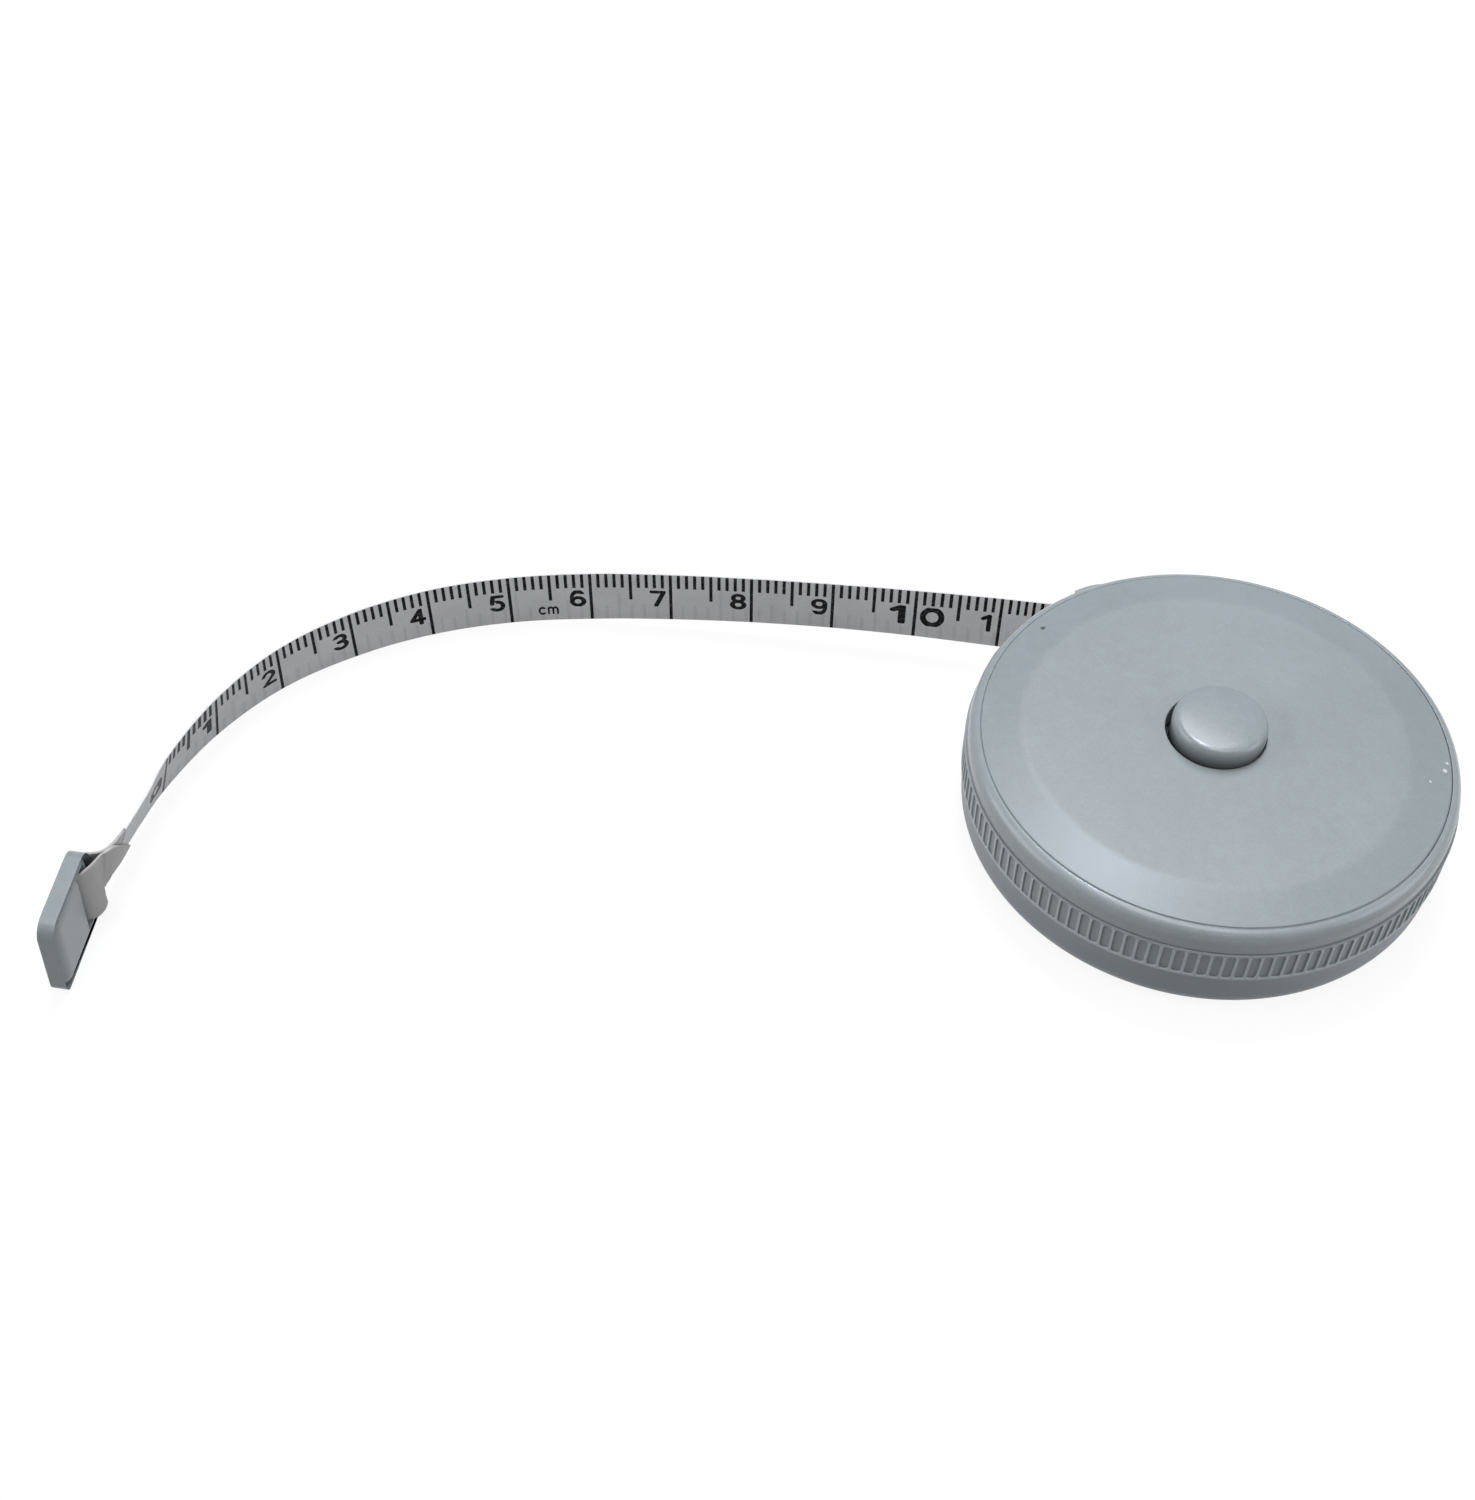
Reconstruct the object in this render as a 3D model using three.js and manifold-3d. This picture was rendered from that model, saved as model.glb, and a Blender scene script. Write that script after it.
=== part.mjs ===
// Retractable sewing tape measure: a round knurled case with a centre button, and a flat printed
// tape that leaves the case along -X, curls round on the table and ends in a small pull tab.
// Millimetres, +Z up. The origin is the centre of the case's flat base.

import * as THREE from "three";
import { mergeVertices } from "three/addons/utils/BufferGeometryUtils.js";
import Module from "manifold-3d";

const wasm = await Module();
wasm.setup();

// Gaps between pieces
const CLEAR = 0.3; // pieces that seat on each other, and running gaps along Z
const BEARING_GAP = 0.4; // radial gap of what turns or slides on a post

// Case
const CASE_RADIUS = 27; // over the knurl's borders
const WALL = 1.8;
const FLOOR = 1.4;
const BASE_ROUND_WIDTH = 1.7;
const BASE_ROUND_HEIGHT = 2.4;
const BAND_INSET = 0.3; // plain bands lie this far inside the knurl's borders
const SEAM_HEIGHT = 9.7; // top of the back shell's wall
const KNURL_COUNT = 132;
const KNURL_HEIGHT = 3.4;
const KNURL_BORDER = 0.4; // plain strips over and under the knurl
const KNURL_DEPTH = 0.45;
const RIB_SHARE = 0.26; // share of the knurl's pitch that a rib takes
const RIB_FOOT = 1.3; // width of a rib's foot, in rib widths
const RIB_SINK = 0.05; // ribs end this far under the borders
const RING_SINK = 0.1; // the ribs' ring reaches this far into the borders

// Front shell and face plate
const RIM_ROUND_WIDTH = 1.2;
const RIM_ROUND_HEIGHT = 1.6;
const RIM_ROUND_END = 80; // degrees of the rounding before the flat of the rim
const RIM_DROP = 0.85; // the rim's inner edge lies this far under the flat of the face
const LEDGE_WIDTH = 3;
const LEDGE = 0.7;
const SKIRT = 1.2;
const SKIRT_DEPTH = 1.5; // how far the front shell plugs into the back shell
const PLATE = 1.7;
const PLATE_EDGE_DROP = 0.8; // the face slopes down this far to its edge
const FACE_SLOPE = 4.3; // width of the slope
const COLLAR_DEPTH = 0.9;
const COLLAR_WALL = 1.6;

// Tape mouth
const MOUTH_WIDTH = 1.8;
const LIP_START = 118.5; // degrees round the case, from +X
const LIP_END = 126;
const LIP_PROUD = 0.45;
const LIP_RISE = 0.6; // over the knurl's lower end

// Tape
const TAPE_WIDTH = 7.4;
const TAPE_THICK = 0.36;
const WOUND_LENGTH = 1370;

// Reel
const DRUM_RADIUS = 15.5;
const DRUM_WALL = 1.8;
const FLANGE_GAP = 0.5; // round the flanges, inside the front shell's ledge
const FLANGE = 0.4;
const SPIGOT_WALL = 0.8;
const SPIGOT_DEPTH = 0.9;
const BRAKE_BORE = 7.3; // hole in the upper flange, whose edge is the brake's lip
const PIN_RADIUS = 0.55;
const PIN_ANGLE = 200;

// Arbor and washer
const ARBOR_RADIUS = 3.2;
const ARBOR_FOOT_RADIUS = 2.2;
const ARBOR_FOOT_DEPTH = 0.6;
const ARBOR_RISE = 0.1; // shoulder over the spring's cover
const ARBOR_PIN_RADIUS = 1.5;
const ARBOR_PIN_ROOM = 1; // over the pin, with the button down
const ARBOR_SLOT = 1.2;
const WASHER = 0.3;
const WASHER_SINK = 0.1; // top of the washer under the floor of the case
const WASHER_INNER = 5;
const WASHER_OUTER = 7.6;

// Mainspring and its cover
const SPRING_TURNS = 7;
const SPRING_THICK = 0.35;
const SPRING_TANG_RADIUS = 1.6; // inner end, in the arbor's slot
const COVER = 0.4;

// Button, brake and button spring
const BUTTON_RADIUS = 5.2;
const BUTTON_GAP = 0.3;
const BUTTON_PROUD = 2.6; // dome over the face
const BUTTON_EDGE_PROUD = 0.25; // where the dome's rounding starts
const BUTTON_ROUND = 1.5; // width of the rounding
const BUTTON_ROUND_SHARE = 0.95; // share of the dome's rise in its rounding
const BUTTON_ROUND_END = 75; // degrees
const CROWN_RADIUS = 1.7;
const CROWN_DROP = 0.05;
const BUTTON_STROKE = 1.4;
const BUTTON_ROOF = 1.9;
const BUTTON_BORE = 3.4;
const LUG_WIDTH = 1;
const LUG_REACH = 1.6;
const LUG_GAP = 0.3;
const BRAKE_RADIUS = 8.5;
const BRAKE = 0.6;
const PAD = 0.3;
const PAD_WIDTH = 1;
const COIL_WIRE = 0.5;
const COIL_TURNS = 5;
const COIL_GAP = 0.3; // round the spring, in the button's bore

// Pull tab and the tape's end loop
const TAB_LENGTH = 11.4;
const TAB_RAIL = 1.15; // over and under the slot
const TAB_THICK = 1.9;
const TAB_CORNER = 2;
const TAB_EDGE = 0.3; // rounding of the tab's edges
const TAB_BAR = 1.6;
const TAB_SLOT = 2.3;
const TAB_SLOT_ROOM = 0.8; // over and under the tape in the slot
const TAB_LEAN = 6.2; // degrees, top towards the case
const TAB_YAW = 4; // degrees round Z
const TAB_OUT = 100.96; // middle of the bar that the tape is looped round, as in the lists below
const TAB_ASIDE = 55.07;
const LOOP_GAP = 0.35; // round the corners of the bar
const LOOP_JOINED = 1.4; // length over which the loop's two layers lie together

// The free tape, from the mouth to the loop: the distance out of the mouth, the distance aside
// towards -Y, the height of its lower edge and its lean in degrees, top towards the curl's inside
const RUN_POINTS = [
  [7, -0.03, 2.2, 0],
  [17.2, -0.03, 2, 0],
  [27.25, 0.07, 1.7, 0],
  [37.2, 0.35, 1.3, -1],
  [47.15, 0.9, 0.85, -2.5],
];
const TAIL_POINTS = [
  [57, 1.9, 0.45, -4],
  [66.8, 3.95, 0.15, -3],
  [76, 7.55, 0.05, -2],
  [84.25, 12.9, 0.05, 1],
  [91.2, 19.85, 0.1, 6.5],
  [96, 28.5, 0.2, 13],
  [98.7, 38.25, 0.45, 18.5],
  [98.95, 43.9, 1, 20],
  [99.1, 49.65, 1.75, 19],
];

// Facets
const CASE_SIDES = 64;
const SMALL_SIDES = 28;
const LOOP_STEPS = 14;
const ROUND_STEPS = 5;
const PIN_SIDES = 12;
const COIL_STEPS = 10; // sections for each turn
const WIRE_STEPS = 3;
const CORNER_STEPS = 4;
const EDGE_STEPS = 2;
const TAPE_STEP = 5; // length of tape for each section
const SPRING_STEPS = 20; // sections for each turn
const WELD = 1e-4; // points closer than this are one

// Heights worked out from the stack of pieces
const flangeBottom = FLOOR + CLEAR;
const flangeTop = flangeBottom + FLANGE;
const tapeBottom = flangeTop + CLEAR;
const tapeTop = tapeBottom + TAPE_WIDTH;
const tapeMiddle = (tapeBottom + tapeTop) / 2;
const upperFlangeBottom = tapeTop + CLEAR;
const upperFlangeTop = upperFlangeBottom + FLANGE;
const collarBottom = upperFlangeTop + CLEAR;
const plateBottom = collarBottom + COLLAR_DEPTH;
const faceTop = plateBottom + PLATE;
const frontBottom = SEAM_HEIGHT + CLEAR;
const knurlTop = SEAM_HEIGHT - KNURL_BORDER;
const knurlBottom = knurlTop - KNURL_HEIGHT;
const padTop = upperFlangeBottom - CLEAR;
const brakeTop = padTop - PAD - CLEAR;
const brakeBottom = brakeTop - BRAKE;
const coverTop = brakeBottom - BUTTON_STROKE - CLEAR;
const coverBottom = coverTop - COVER;
const springTop = coverBottom - CLEAR;
const springBottom = flangeTop + CLEAR;
const washerTop = FLOOR - WASHER_SINK;
const buttonBottom = brakeTop + CLEAR;
const buttonTop = faceTop + BUTTON_PROUD;
const buttonRoof = buttonTop - BUTTON_ROOF;
const arborShoulder = coverTop + ARBOR_RISE;
const arborPinTop = buttonRoof - BUTTON_STROKE - ARBOR_PIN_ROOM;
const slotHeight = TAPE_WIDTH + 2 * TAB_SLOT_ROOM;
const tabHeight = slotHeight + 2 * TAB_RAIL;

// Radii worked out from what fits in what
const innerRadius = CASE_RADIUS - WALL;
const bandRadius = CASE_RADIUS - BAND_INSET;
const skirtRadius = innerRadius - CLEAR;
const plateRadius = bandRadius - RIM_ROUND_WIDTH - CLEAR;
const seatRadius = bandRadius - RIM_ROUND_WIDTH;
const baseRadius = bandRadius - BASE_ROUND_WIDTH;
const faceFlatRadius = plateRadius - FACE_SLOPE;
const flangeRadius = seatRadius - LEDGE_WIDTH - FLANGE_GAP;
const drumBore = DRUM_RADIUS - DRUM_WALL;
const woundInner = DRUM_RADIUS + CLEAR;
const woundRadius = Math.sqrt(woundInner ** 2 + (WOUND_LENGTH * TAPE_THICK) / Math.PI);
const tapeLine = woundRadius + CLEAR + TAPE_THICK / 2; // y of the tape where it leaves the reel
const reelBore = ARBOR_RADIUS + BEARING_GAP;
const buttonHole = BUTTON_RADIUS + BUTTON_GAP;
const coilRadius = BUTTON_BORE - COIL_GAP - COIL_WIRE / 2;

// Where the tape leaves the case, and the places along it
const mouthX = -Math.sqrt(CASE_RADIUS ** 2 - tapeLine ** 2);
const runPoints = RUN_POINTS.map(placed);
const tailPoints = TAIL_POINTS.map(placed);
const tabPlace = [mouthX - TAB_OUT, tapeLine - TAB_ASIDE];

function placed([out, aside, lift, lean]) {
  return [mouthX - out, tapeLine - aside, lift + TAPE_WIDTH / 2, lean];
}

// Helpers

// A part of a circle's outline as [x, y] pairs, from one angle to the other in degrees
function arc(x, y, radiusX, radiusY, from, to, steps = ROUND_STEPS) {
  return Array.from({ length: steps + 1 }, (_, i) => {
    const angle = THREE.MathUtils.degToRad(from + ((to - from) * i) / steps);
    return [x + radiusX * Math.cos(angle), y + radiusY * Math.sin(angle)];
  });
}

function vectors(pairs) {
  return pairs.map(([x, y]) => new THREE.Vector2(x, y));
}

// A profile of [radius, z] pairs, turned round Z. A profile that leaves the axis closes on itself.
function turned(profile, sides) {
  const onAxis = profile[0][0] === 0;
  const closed = onAxis ? profile : [...profile, profile[0]];
  return new THREE.LatheGeometry(vectors(closed), sides).rotateX(Math.PI / 2);
}

function ring(inner, outer, bottom, top, sides) {
  return turned([[inner, bottom], [outer, bottom], [outer, top], [inner, top]], sides);
}

function box(low, high) {
  const size = high.map((value, i) => value - low[i]);
  const centre = high.map((value, i) => (value + low[i]) / 2);
  return new THREE.BoxGeometry(...size).translate(...centre);
}

function solid(geometry) {
  const bare = geometry.index ? geometry.toNonIndexed() : geometry.clone();
  bare.deleteAttribute("normal");
  bare.deleteAttribute("uv");
  const merged = mergeVertices(bare, WELD);
  const vertProperties = new Float32Array(merged.attributes.position.array);
  const triVerts = new Uint32Array(merged.index.array);
  return new wasm.Manifold(new wasm.Mesh({ numProp: 3, vertProperties, triVerts }));
}

function geometryOf(made) {
  const { vertProperties, triVerts } = made.getMesh();
  const geometry = new THREE.BufferGeometry();
  geometry.setAttribute("position", new THREE.BufferAttribute(vertProperties, 3));
  geometry.setIndex(new THREE.BufferAttribute(triVerts, 1));
  return geometry;
}

// One geometry with others joined to it and then cut from it
function combined(base, joined, cut) {
  let made = solid(base);
  joined.forEach((geometry) => {
    made = made.add(solid(geometry));
  });
  cut.forEach((geometry) => {
    made = made.subtract(solid(geometry));
  });
  return geometryOf(made);
}

// A flat strip through stations of a centre point, the way along its width and the way across it
function strip(stations, width, thick) {
  const positions = [];
  const faces = [];
  stations.forEach(({ point, along, across }, i) => {
    [[-1, -1], [1, -1], [1, 1], [-1, 1]].forEach(([a, b]) => {
      const corner = point.clone();
      corner.addScaledVector(across, (a * thick) / 2);
      corner.addScaledVector(along, (b * width) / 2);
      positions.push(corner.x, corner.y, corner.z);
    });
    if (i === 0) return;
    for (let k = 0; k < 4; k += 1) {
      const next = (k + 1) % 4;
      const [old, now] = [4 * (i - 1), 4 * i];
      faces.push(old + k, old + next, now + next, old + k, now + next, now + k);
    }
  });
  const last = 4 * (stations.length - 1);
  faces.push(0, 2, 1, 0, 3, 2, last, last + 1, last + 2, last, last + 2, last + 3);
  const geometry = new THREE.BufferGeometry();
  geometry.setAttribute("position", new THREE.Float32BufferAttribute(positions, 3));
  geometry.setIndex(faces);
  return geometry;
}

// Stations of an upright strip along points of [x, y, z, lean in degrees]
function uprightStations(points) {
  return points.map(([x, y, z, lean], i) => {
    const before = points[Math.max(i - 1, 0)];
    const after = points[Math.min(i + 1, points.length - 1)];
    const across = new THREE.Vector3(before[1] - after[1], after[0] - before[0], 0).normalize();
    const along = new THREE.Vector3(0, 0, 1);
    const tangent = new THREE.Vector3().crossVectors(across, along);
    const angle = -THREE.MathUtils.degToRad(lean);
    along.applyAxisAngle(tangent, angle);
    across.applyAxisAngle(tangent, angle);
    return { point: new THREE.Vector3(x, y, z), along, across };
  });
}

// The tape's points, spaced evenly along a smooth curve through the given ones
function smoothed(points, step) {
  const curve = new THREE.CatmullRomCurve3(points.map(([x, y, z]) => new THREE.Vector3(x, y, z)));
  const leans = new THREE.CatmullRomCurve3(points.map((p) => new THREE.Vector3(p[3], 0, 0)));
  const count = Math.ceil(curve.getLength() / step);
  return Array.from({ length: count + 1 }, (_, i) => {
    const share = curve.getUtoTmapping(i / count);
    const point = curve.getPoint(share);
    return [point.x, point.y, point.z, leans.getPoint(share).x];
  });
}

// A box that cuts the tape's way through the case's wall
function mouthCut(bottom, top) {
  const farSide = tapeLine + MOUTH_WIDTH / 2;
  const innerEnd = -Math.sqrt((skirtRadius - SKIRT) ** 2 - farSide ** 2);
  const low = [-CASE_RADIUS - CLEAR, tapeLine - MOUTH_WIDTH / 2, bottom];
  const high = [innerEnd + CLEAR, farSide, top];
  return box(low, high);
}

// A low pad on the case's outside, just behind the mouth
function mouthLip(bottom, top) {
  const shape = new THREE.Shape();
  const from = THREE.MathUtils.degToRad(LIP_START);
  const to = THREE.MathUtils.degToRad(LIP_END);
  shape.absarc(0, 0, bandRadius + LIP_PROUD, from, to, false);
  shape.absarc(0, 0, innerRadius + WALL / 2, to, from, true);
  const settings = { depth: top - bottom, bevelEnabled: false, curveSegments: ROUND_STEPS };
  return new THREE.ExtrudeGeometry(shape, settings).translate(0, 0, bottom);
}

// Case

// Upright ribs round the grip, on a ring that is sunk in the wall
function knurl() {
  const pitch = (2 * Math.PI) / KNURL_COUNT;
  const rib = CASE_RADIUS - RIB_SINK;
  const root = CASE_RADIUS - KNURL_DEPTH;
  const points = [];
  for (let i = 0; i < KNURL_COUNT; i += 1) {
    const half = (pitch * RIB_SHARE) / 2;
    const foot = RIB_FOOT * half;
    [[rib, -half], [rib, half], [root, foot], [root, pitch - foot]].forEach(
      ([radius, turn]) => {
        const angle = i * pitch + turn;
        points.push(new THREE.Vector2(radius * Math.cos(angle), radius * Math.sin(angle)));
      },
    );
  }
  const shape = new THREE.Shape(points);
  const hole = new THREE.Path().absarc(0, 0, innerRadius + WALL / 2, 0, 2 * Math.PI, true);
  shape.holes.push(hole);
  const depth = KNURL_HEIGHT + 2 * RING_SINK;
  const settings = { depth, bevelEnabled: false, curveSegments: CASE_SIDES / 2 };
  return new THREE.ExtrudeGeometry(shape, settings).translate(0, 0, knurlBottom - RING_SINK);
}

function backShell() {
  const root = CASE_RADIUS - KNURL_DEPTH - RIB_SINK;
  const socketDepth = FLOOR - ARBOR_FOOT_DEPTH - CLEAR;
  const socketRadius = ARBOR_FOOT_RADIUS + CLEAR;
  const recess = washerTop - WASHER - CLEAR;
  const profile = [
    [0, 0],
    ...arc(baseRadius, BASE_ROUND_HEIGHT, BASE_ROUND_WIDTH, BASE_ROUND_HEIGHT, -90, 0),
    [bandRadius, knurlBottom - KNURL_BORDER],
    [CASE_RADIUS, knurlBottom - KNURL_BORDER],
    [CASE_RADIUS, knurlBottom],
    [root, knurlBottom],
    [root, knurlTop],
    [CASE_RADIUS, knurlTop],
    [CASE_RADIUS, SEAM_HEIGHT],
    [innerRadius, SEAM_HEIGHT],
    [innerRadius, FLOOR],
    [WASHER_OUTER + CLEAR, FLOOR],
    [WASHER_OUTER + CLEAR, recess],
    [WASHER_INNER - CLEAR, recess],
    [WASHER_INNER - CLEAR, FLOOR],
    [socketRadius, FLOOR],
    [socketRadius, socketDepth],
    [0, socketDepth],
  ];
  const lip = mouthLip(knurlBottom + LIP_RISE, SEAM_HEIGHT);
  const mouth = mouthCut(flangeTop, SEAM_HEIGHT + CLEAR);
  return combined(turned(profile, CASE_SIDES), [knurl(), lip], [mouth]);
}

function frontShell() {
  const ledgeTop = plateBottom - CLEAR;
  const ledgeBottom = ledgeTop - LEDGE;
  const rimTop = faceTop - RIM_DROP;
  const roundBottom = rimTop - RIM_ROUND_HEIGHT;
  const profile = [
    [bandRadius, frontBottom],
    ...arc(seatRadius, roundBottom, RIM_ROUND_WIDTH, RIM_ROUND_HEIGHT, 0, RIM_ROUND_END),
    [seatRadius, rimTop],
    [seatRadius, ledgeTop],
    [seatRadius - LEDGE_WIDTH, ledgeTop],
    [seatRadius - LEDGE_WIDTH, ledgeBottom],
    [skirtRadius - SKIRT, ledgeBottom],
    [skirtRadius - SKIRT, SEAM_HEIGHT - SKIRT_DEPTH],
    [skirtRadius, SEAM_HEIGHT - SKIRT_DEPTH],
    [skirtRadius, frontBottom],
  ];
  const lip = mouthLip(frontBottom, roundBottom + RIM_ROUND_HEIGHT / 2);
  const mouth = mouthCut(SEAM_HEIGHT - SKIRT_DEPTH - CLEAR, upperFlangeBottom);
  return combined(turned(profile, CASE_SIDES), [lip], [mouth]);
}

function facePlate() {
  const profile = [
    [buttonHole, collarBottom],
    [buttonHole + COLLAR_WALL, collarBottom],
    [buttonHole + COLLAR_WALL, plateBottom],
    [plateRadius, plateBottom],
    [plateRadius, faceTop - PLATE_EDGE_DROP],
    [faceFlatRadius, faceTop],
    [buttonHole, faceTop],
  ];
  const reach = buttonHole + COLLAR_WALL + CLEAR;
  const half = LUG_WIDTH / 2 + LUG_GAP;
  const notch = box([-reach, -half, collarBottom - CLEAR], [reach, half, plateBottom]);
  return combined(turned(profile, CASE_SIDES), [], [notch]);
}

function arbor() {
  const profile = [
    [0, FLOOR - ARBOR_FOOT_DEPTH],
    [ARBOR_FOOT_RADIUS, FLOOR - ARBOR_FOOT_DEPTH],
    [ARBOR_FOOT_RADIUS, FLOOR + CLEAR],
    [ARBOR_RADIUS, FLOOR + CLEAR],
    [ARBOR_RADIUS, arborShoulder],
    [ARBOR_PIN_RADIUS, arborShoulder],
    [ARBOR_PIN_RADIUS, arborPinTop],
    [0, arborPinTop],
  ];
  const half = ARBOR_SLOT / 2;
  const start = SPRING_TANG_RADIUS - CLEAR;
  const slot = box([start, -half, springBottom - CLEAR], [ARBOR_RADIUS + CLEAR, half, coverBottom]);
  return combined(turned(profile, SMALL_SIDES), [], [slot]);
}

// Reel

// An upright cylinder in the drum's outside, where the tape's inner end is held
function anchor(radius, height) {
  const post = new THREE.CylinderGeometry(radius, radius, height, PIN_SIDES);
  post.rotateX(Math.PI / 2);
  post.translate(DRUM_RADIUS - PIN_RADIUS, 0, tapeMiddle);
  return post.rotateZ(THREE.MathUtils.degToRad(PIN_ANGLE));
}

function reel() {
  const profile = [
    [reelBore, flangeBottom],
    [flangeRadius, flangeBottom],
    [flangeRadius, flangeTop],
    [DRUM_RADIUS, flangeTop],
    [DRUM_RADIUS, tapeTop],
    [drumBore, tapeTop],
    [drumBore, flangeTop],
    [reelBore, flangeTop],
  ];
  const half = ARBOR_SLOT / 2;
  const slotTop = springTop + CLEAR;
  const springSlot = box([drumBore - CLEAR, -half, flangeTop], [DRUM_RADIUS + CLEAR, half, slotTop]);
  const groove = anchor(PIN_RADIUS + CLEAR, TAPE_WIDTH);
  return combined(turned(profile, CASE_SIDES), [], [springSlot, groove]);
}

function reelFlange() {
  const spigot = drumBore - CLEAR;
  const profile = [
    [BRAKE_BORE, upperFlangeBottom],
    [spigot - SPIGOT_WALL, upperFlangeBottom],
    [spigot - SPIGOT_WALL, upperFlangeBottom - SPIGOT_DEPTH],
    [spigot, upperFlangeBottom - SPIGOT_DEPTH],
    [spigot, upperFlangeBottom],
    [flangeRadius, upperFlangeBottom],
    [flangeRadius, upperFlangeTop],
    [BRAKE_BORE, upperFlangeTop],
  ];
  return turned(profile, CASE_SIDES);
}

// A flat spiral from a tang in the arbor's slot to a tang in the drum's slot
function mainspring() {
  const inner = ARBOR_RADIUS + CLEAR + SPRING_THICK / 2;
  const outer = drumBore - CLEAR - SPRING_THICK / 2;
  const middle = (springBottom + springTop) / 2;
  const steps = SPRING_TURNS * SPRING_STEPS;
  const points = [[SPRING_TANG_RADIUS, 0, middle, 0], [inner - SPRING_THICK, 0, middle, 0]];
  for (let i = 1; i < steps; i += 1) {
    const angle = (2 * Math.PI * SPRING_TURNS * i) / steps;
    const radius = inner + ((outer - inner) * i) / steps;
    points.push([radius * Math.cos(angle), radius * Math.sin(angle), middle, 0]);
  }
  points.push([outer + SPRING_THICK, 0, middle, 0], [DRUM_RADIUS - CLEAR, 0, middle, 0]);
  return strip(uprightStations(points), springTop - springBottom, SPRING_THICK);
}

// Button and brake

function button() {
  const edge = faceTop + BUTTON_EDGE_PROUD;
  const rise = buttonTop - edge;
  const profile = [
    [0, buttonRoof],
    [BUTTON_BORE, buttonRoof],
    [BUTTON_BORE, buttonBottom],
    [BUTTON_RADIUS, buttonBottom],
    ...arc(BUTTON_RADIUS - BUTTON_ROUND, edge, BUTTON_ROUND, BUTTON_ROUND_SHARE * rise, 0, BUTTON_ROUND_END),
    [CROWN_RADIUS, buttonTop - CROWN_DROP],
    [0, buttonTop],
  ];
  const reach = BUTTON_RADIUS + LUG_REACH;
  const low = [BUTTON_BORE + CLEAR, -LUG_WIDTH / 2, buttonBottom];
  const high = [reach, LUG_WIDTH / 2, plateBottom - CLEAR];
  const lug = box(low, high);
  const twin = lug.clone().rotateZ(Math.PI);
  return combined(turned(profile, SMALL_SIDES), [lug, twin], []);
}

// A round wire wound into an open coil that stands on the arbor's shoulder
function buttonSpring() {
  const bottom = arborShoulder + CLEAR + COIL_WIRE / 2;
  const top = buttonRoof - CLEAR - COIL_WIRE / 2;
  class Coil extends THREE.Curve {
    getPoint(share, target = new THREE.Vector3()) {
      const angle = 2 * Math.PI * COIL_TURNS * share;
      const z = bottom + (top - bottom) * share;
      return target.set(coilRadius * Math.cos(angle), coilRadius * Math.sin(angle), z);
    }
  }
  const wire = new THREE.Shape().absarc(0, 0, COIL_WIRE / 2, 0, 2 * Math.PI, false);
  return new THREE.ExtrudeGeometry(wire, {
    steps: COIL_STEPS * COIL_TURNS,
    curveSegments: WIRE_STEPS,
    extrudePath: new Coil(),
  });
}

// Tape

function tapeStrip(points) {
  return strip(uprightStations(smoothed(points, TAPE_STEP)), TAPE_WIDTH, TAPE_THICK);
}

function tapeRun() {
  const start = [0, tapeLine, tapeMiddle, 0];
  const mouth = [mouthX, tapeLine, tapeMiddle, 0];
  return tapeStrip([start, mouth, ...runPoints]);
}

function tapeTail() {
  const [x, y, z, lean] = runPoints.at(-1);
  return tapeStrip([[x - CLEAR, y, z, lean], ...tailPoints]);
}

// The round end of a teardrop whose point is that far from the middle of its circle
function roundEnd(middle, radius, reach) {
  const side = 180 - THREE.MathUtils.radToDeg(Math.acos(radius / reach));
  return arc(middle, 0, radius, radius, -side, side, LOOP_STEPS);
}

// The tape's folded end: two layers from the tail that part and go round the tab's bar
function tapeLoop() {
  const [endX, endY, endZ] = tailPoints.at(-1);
  const inner = Math.hypot(TAB_BAR / 2, TAB_THICK / 2) + LOOP_GAP;
  const outer = inner + TAPE_THICK;
  const reach = Math.hypot(tabPlace[0] - endX, tabPlace[1] - endY);
  const parting = CLEAR + LOOP_JOINED;
  const shape = new THREE.Shape(
    vectors([
      [CLEAR, -TAPE_THICK],
      ...roundEnd(reach, outer, reach),
      [CLEAR, TAPE_THICK],
    ]),
  );
  const eye = vectors([[parting, 0], ...roundEnd(reach, inner, reach - parting)]);
  shape.holes.push(new THREE.Path(eye));
  const settings = { depth: TAPE_WIDTH, bevelEnabled: false };
  const loop = new THREE.ExtrudeGeometry(shape, settings).translate(0, 0, -TAPE_WIDTH / 2);
  loop.rotateX(THREE.MathUtils.degToRad(-TAB_LEAN));
  loop.rotateZ(Math.atan2(tabPlace[1] - endY, tabPlace[0] - endX));
  return loop.translate(endX, endY, endZ);
}

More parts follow.
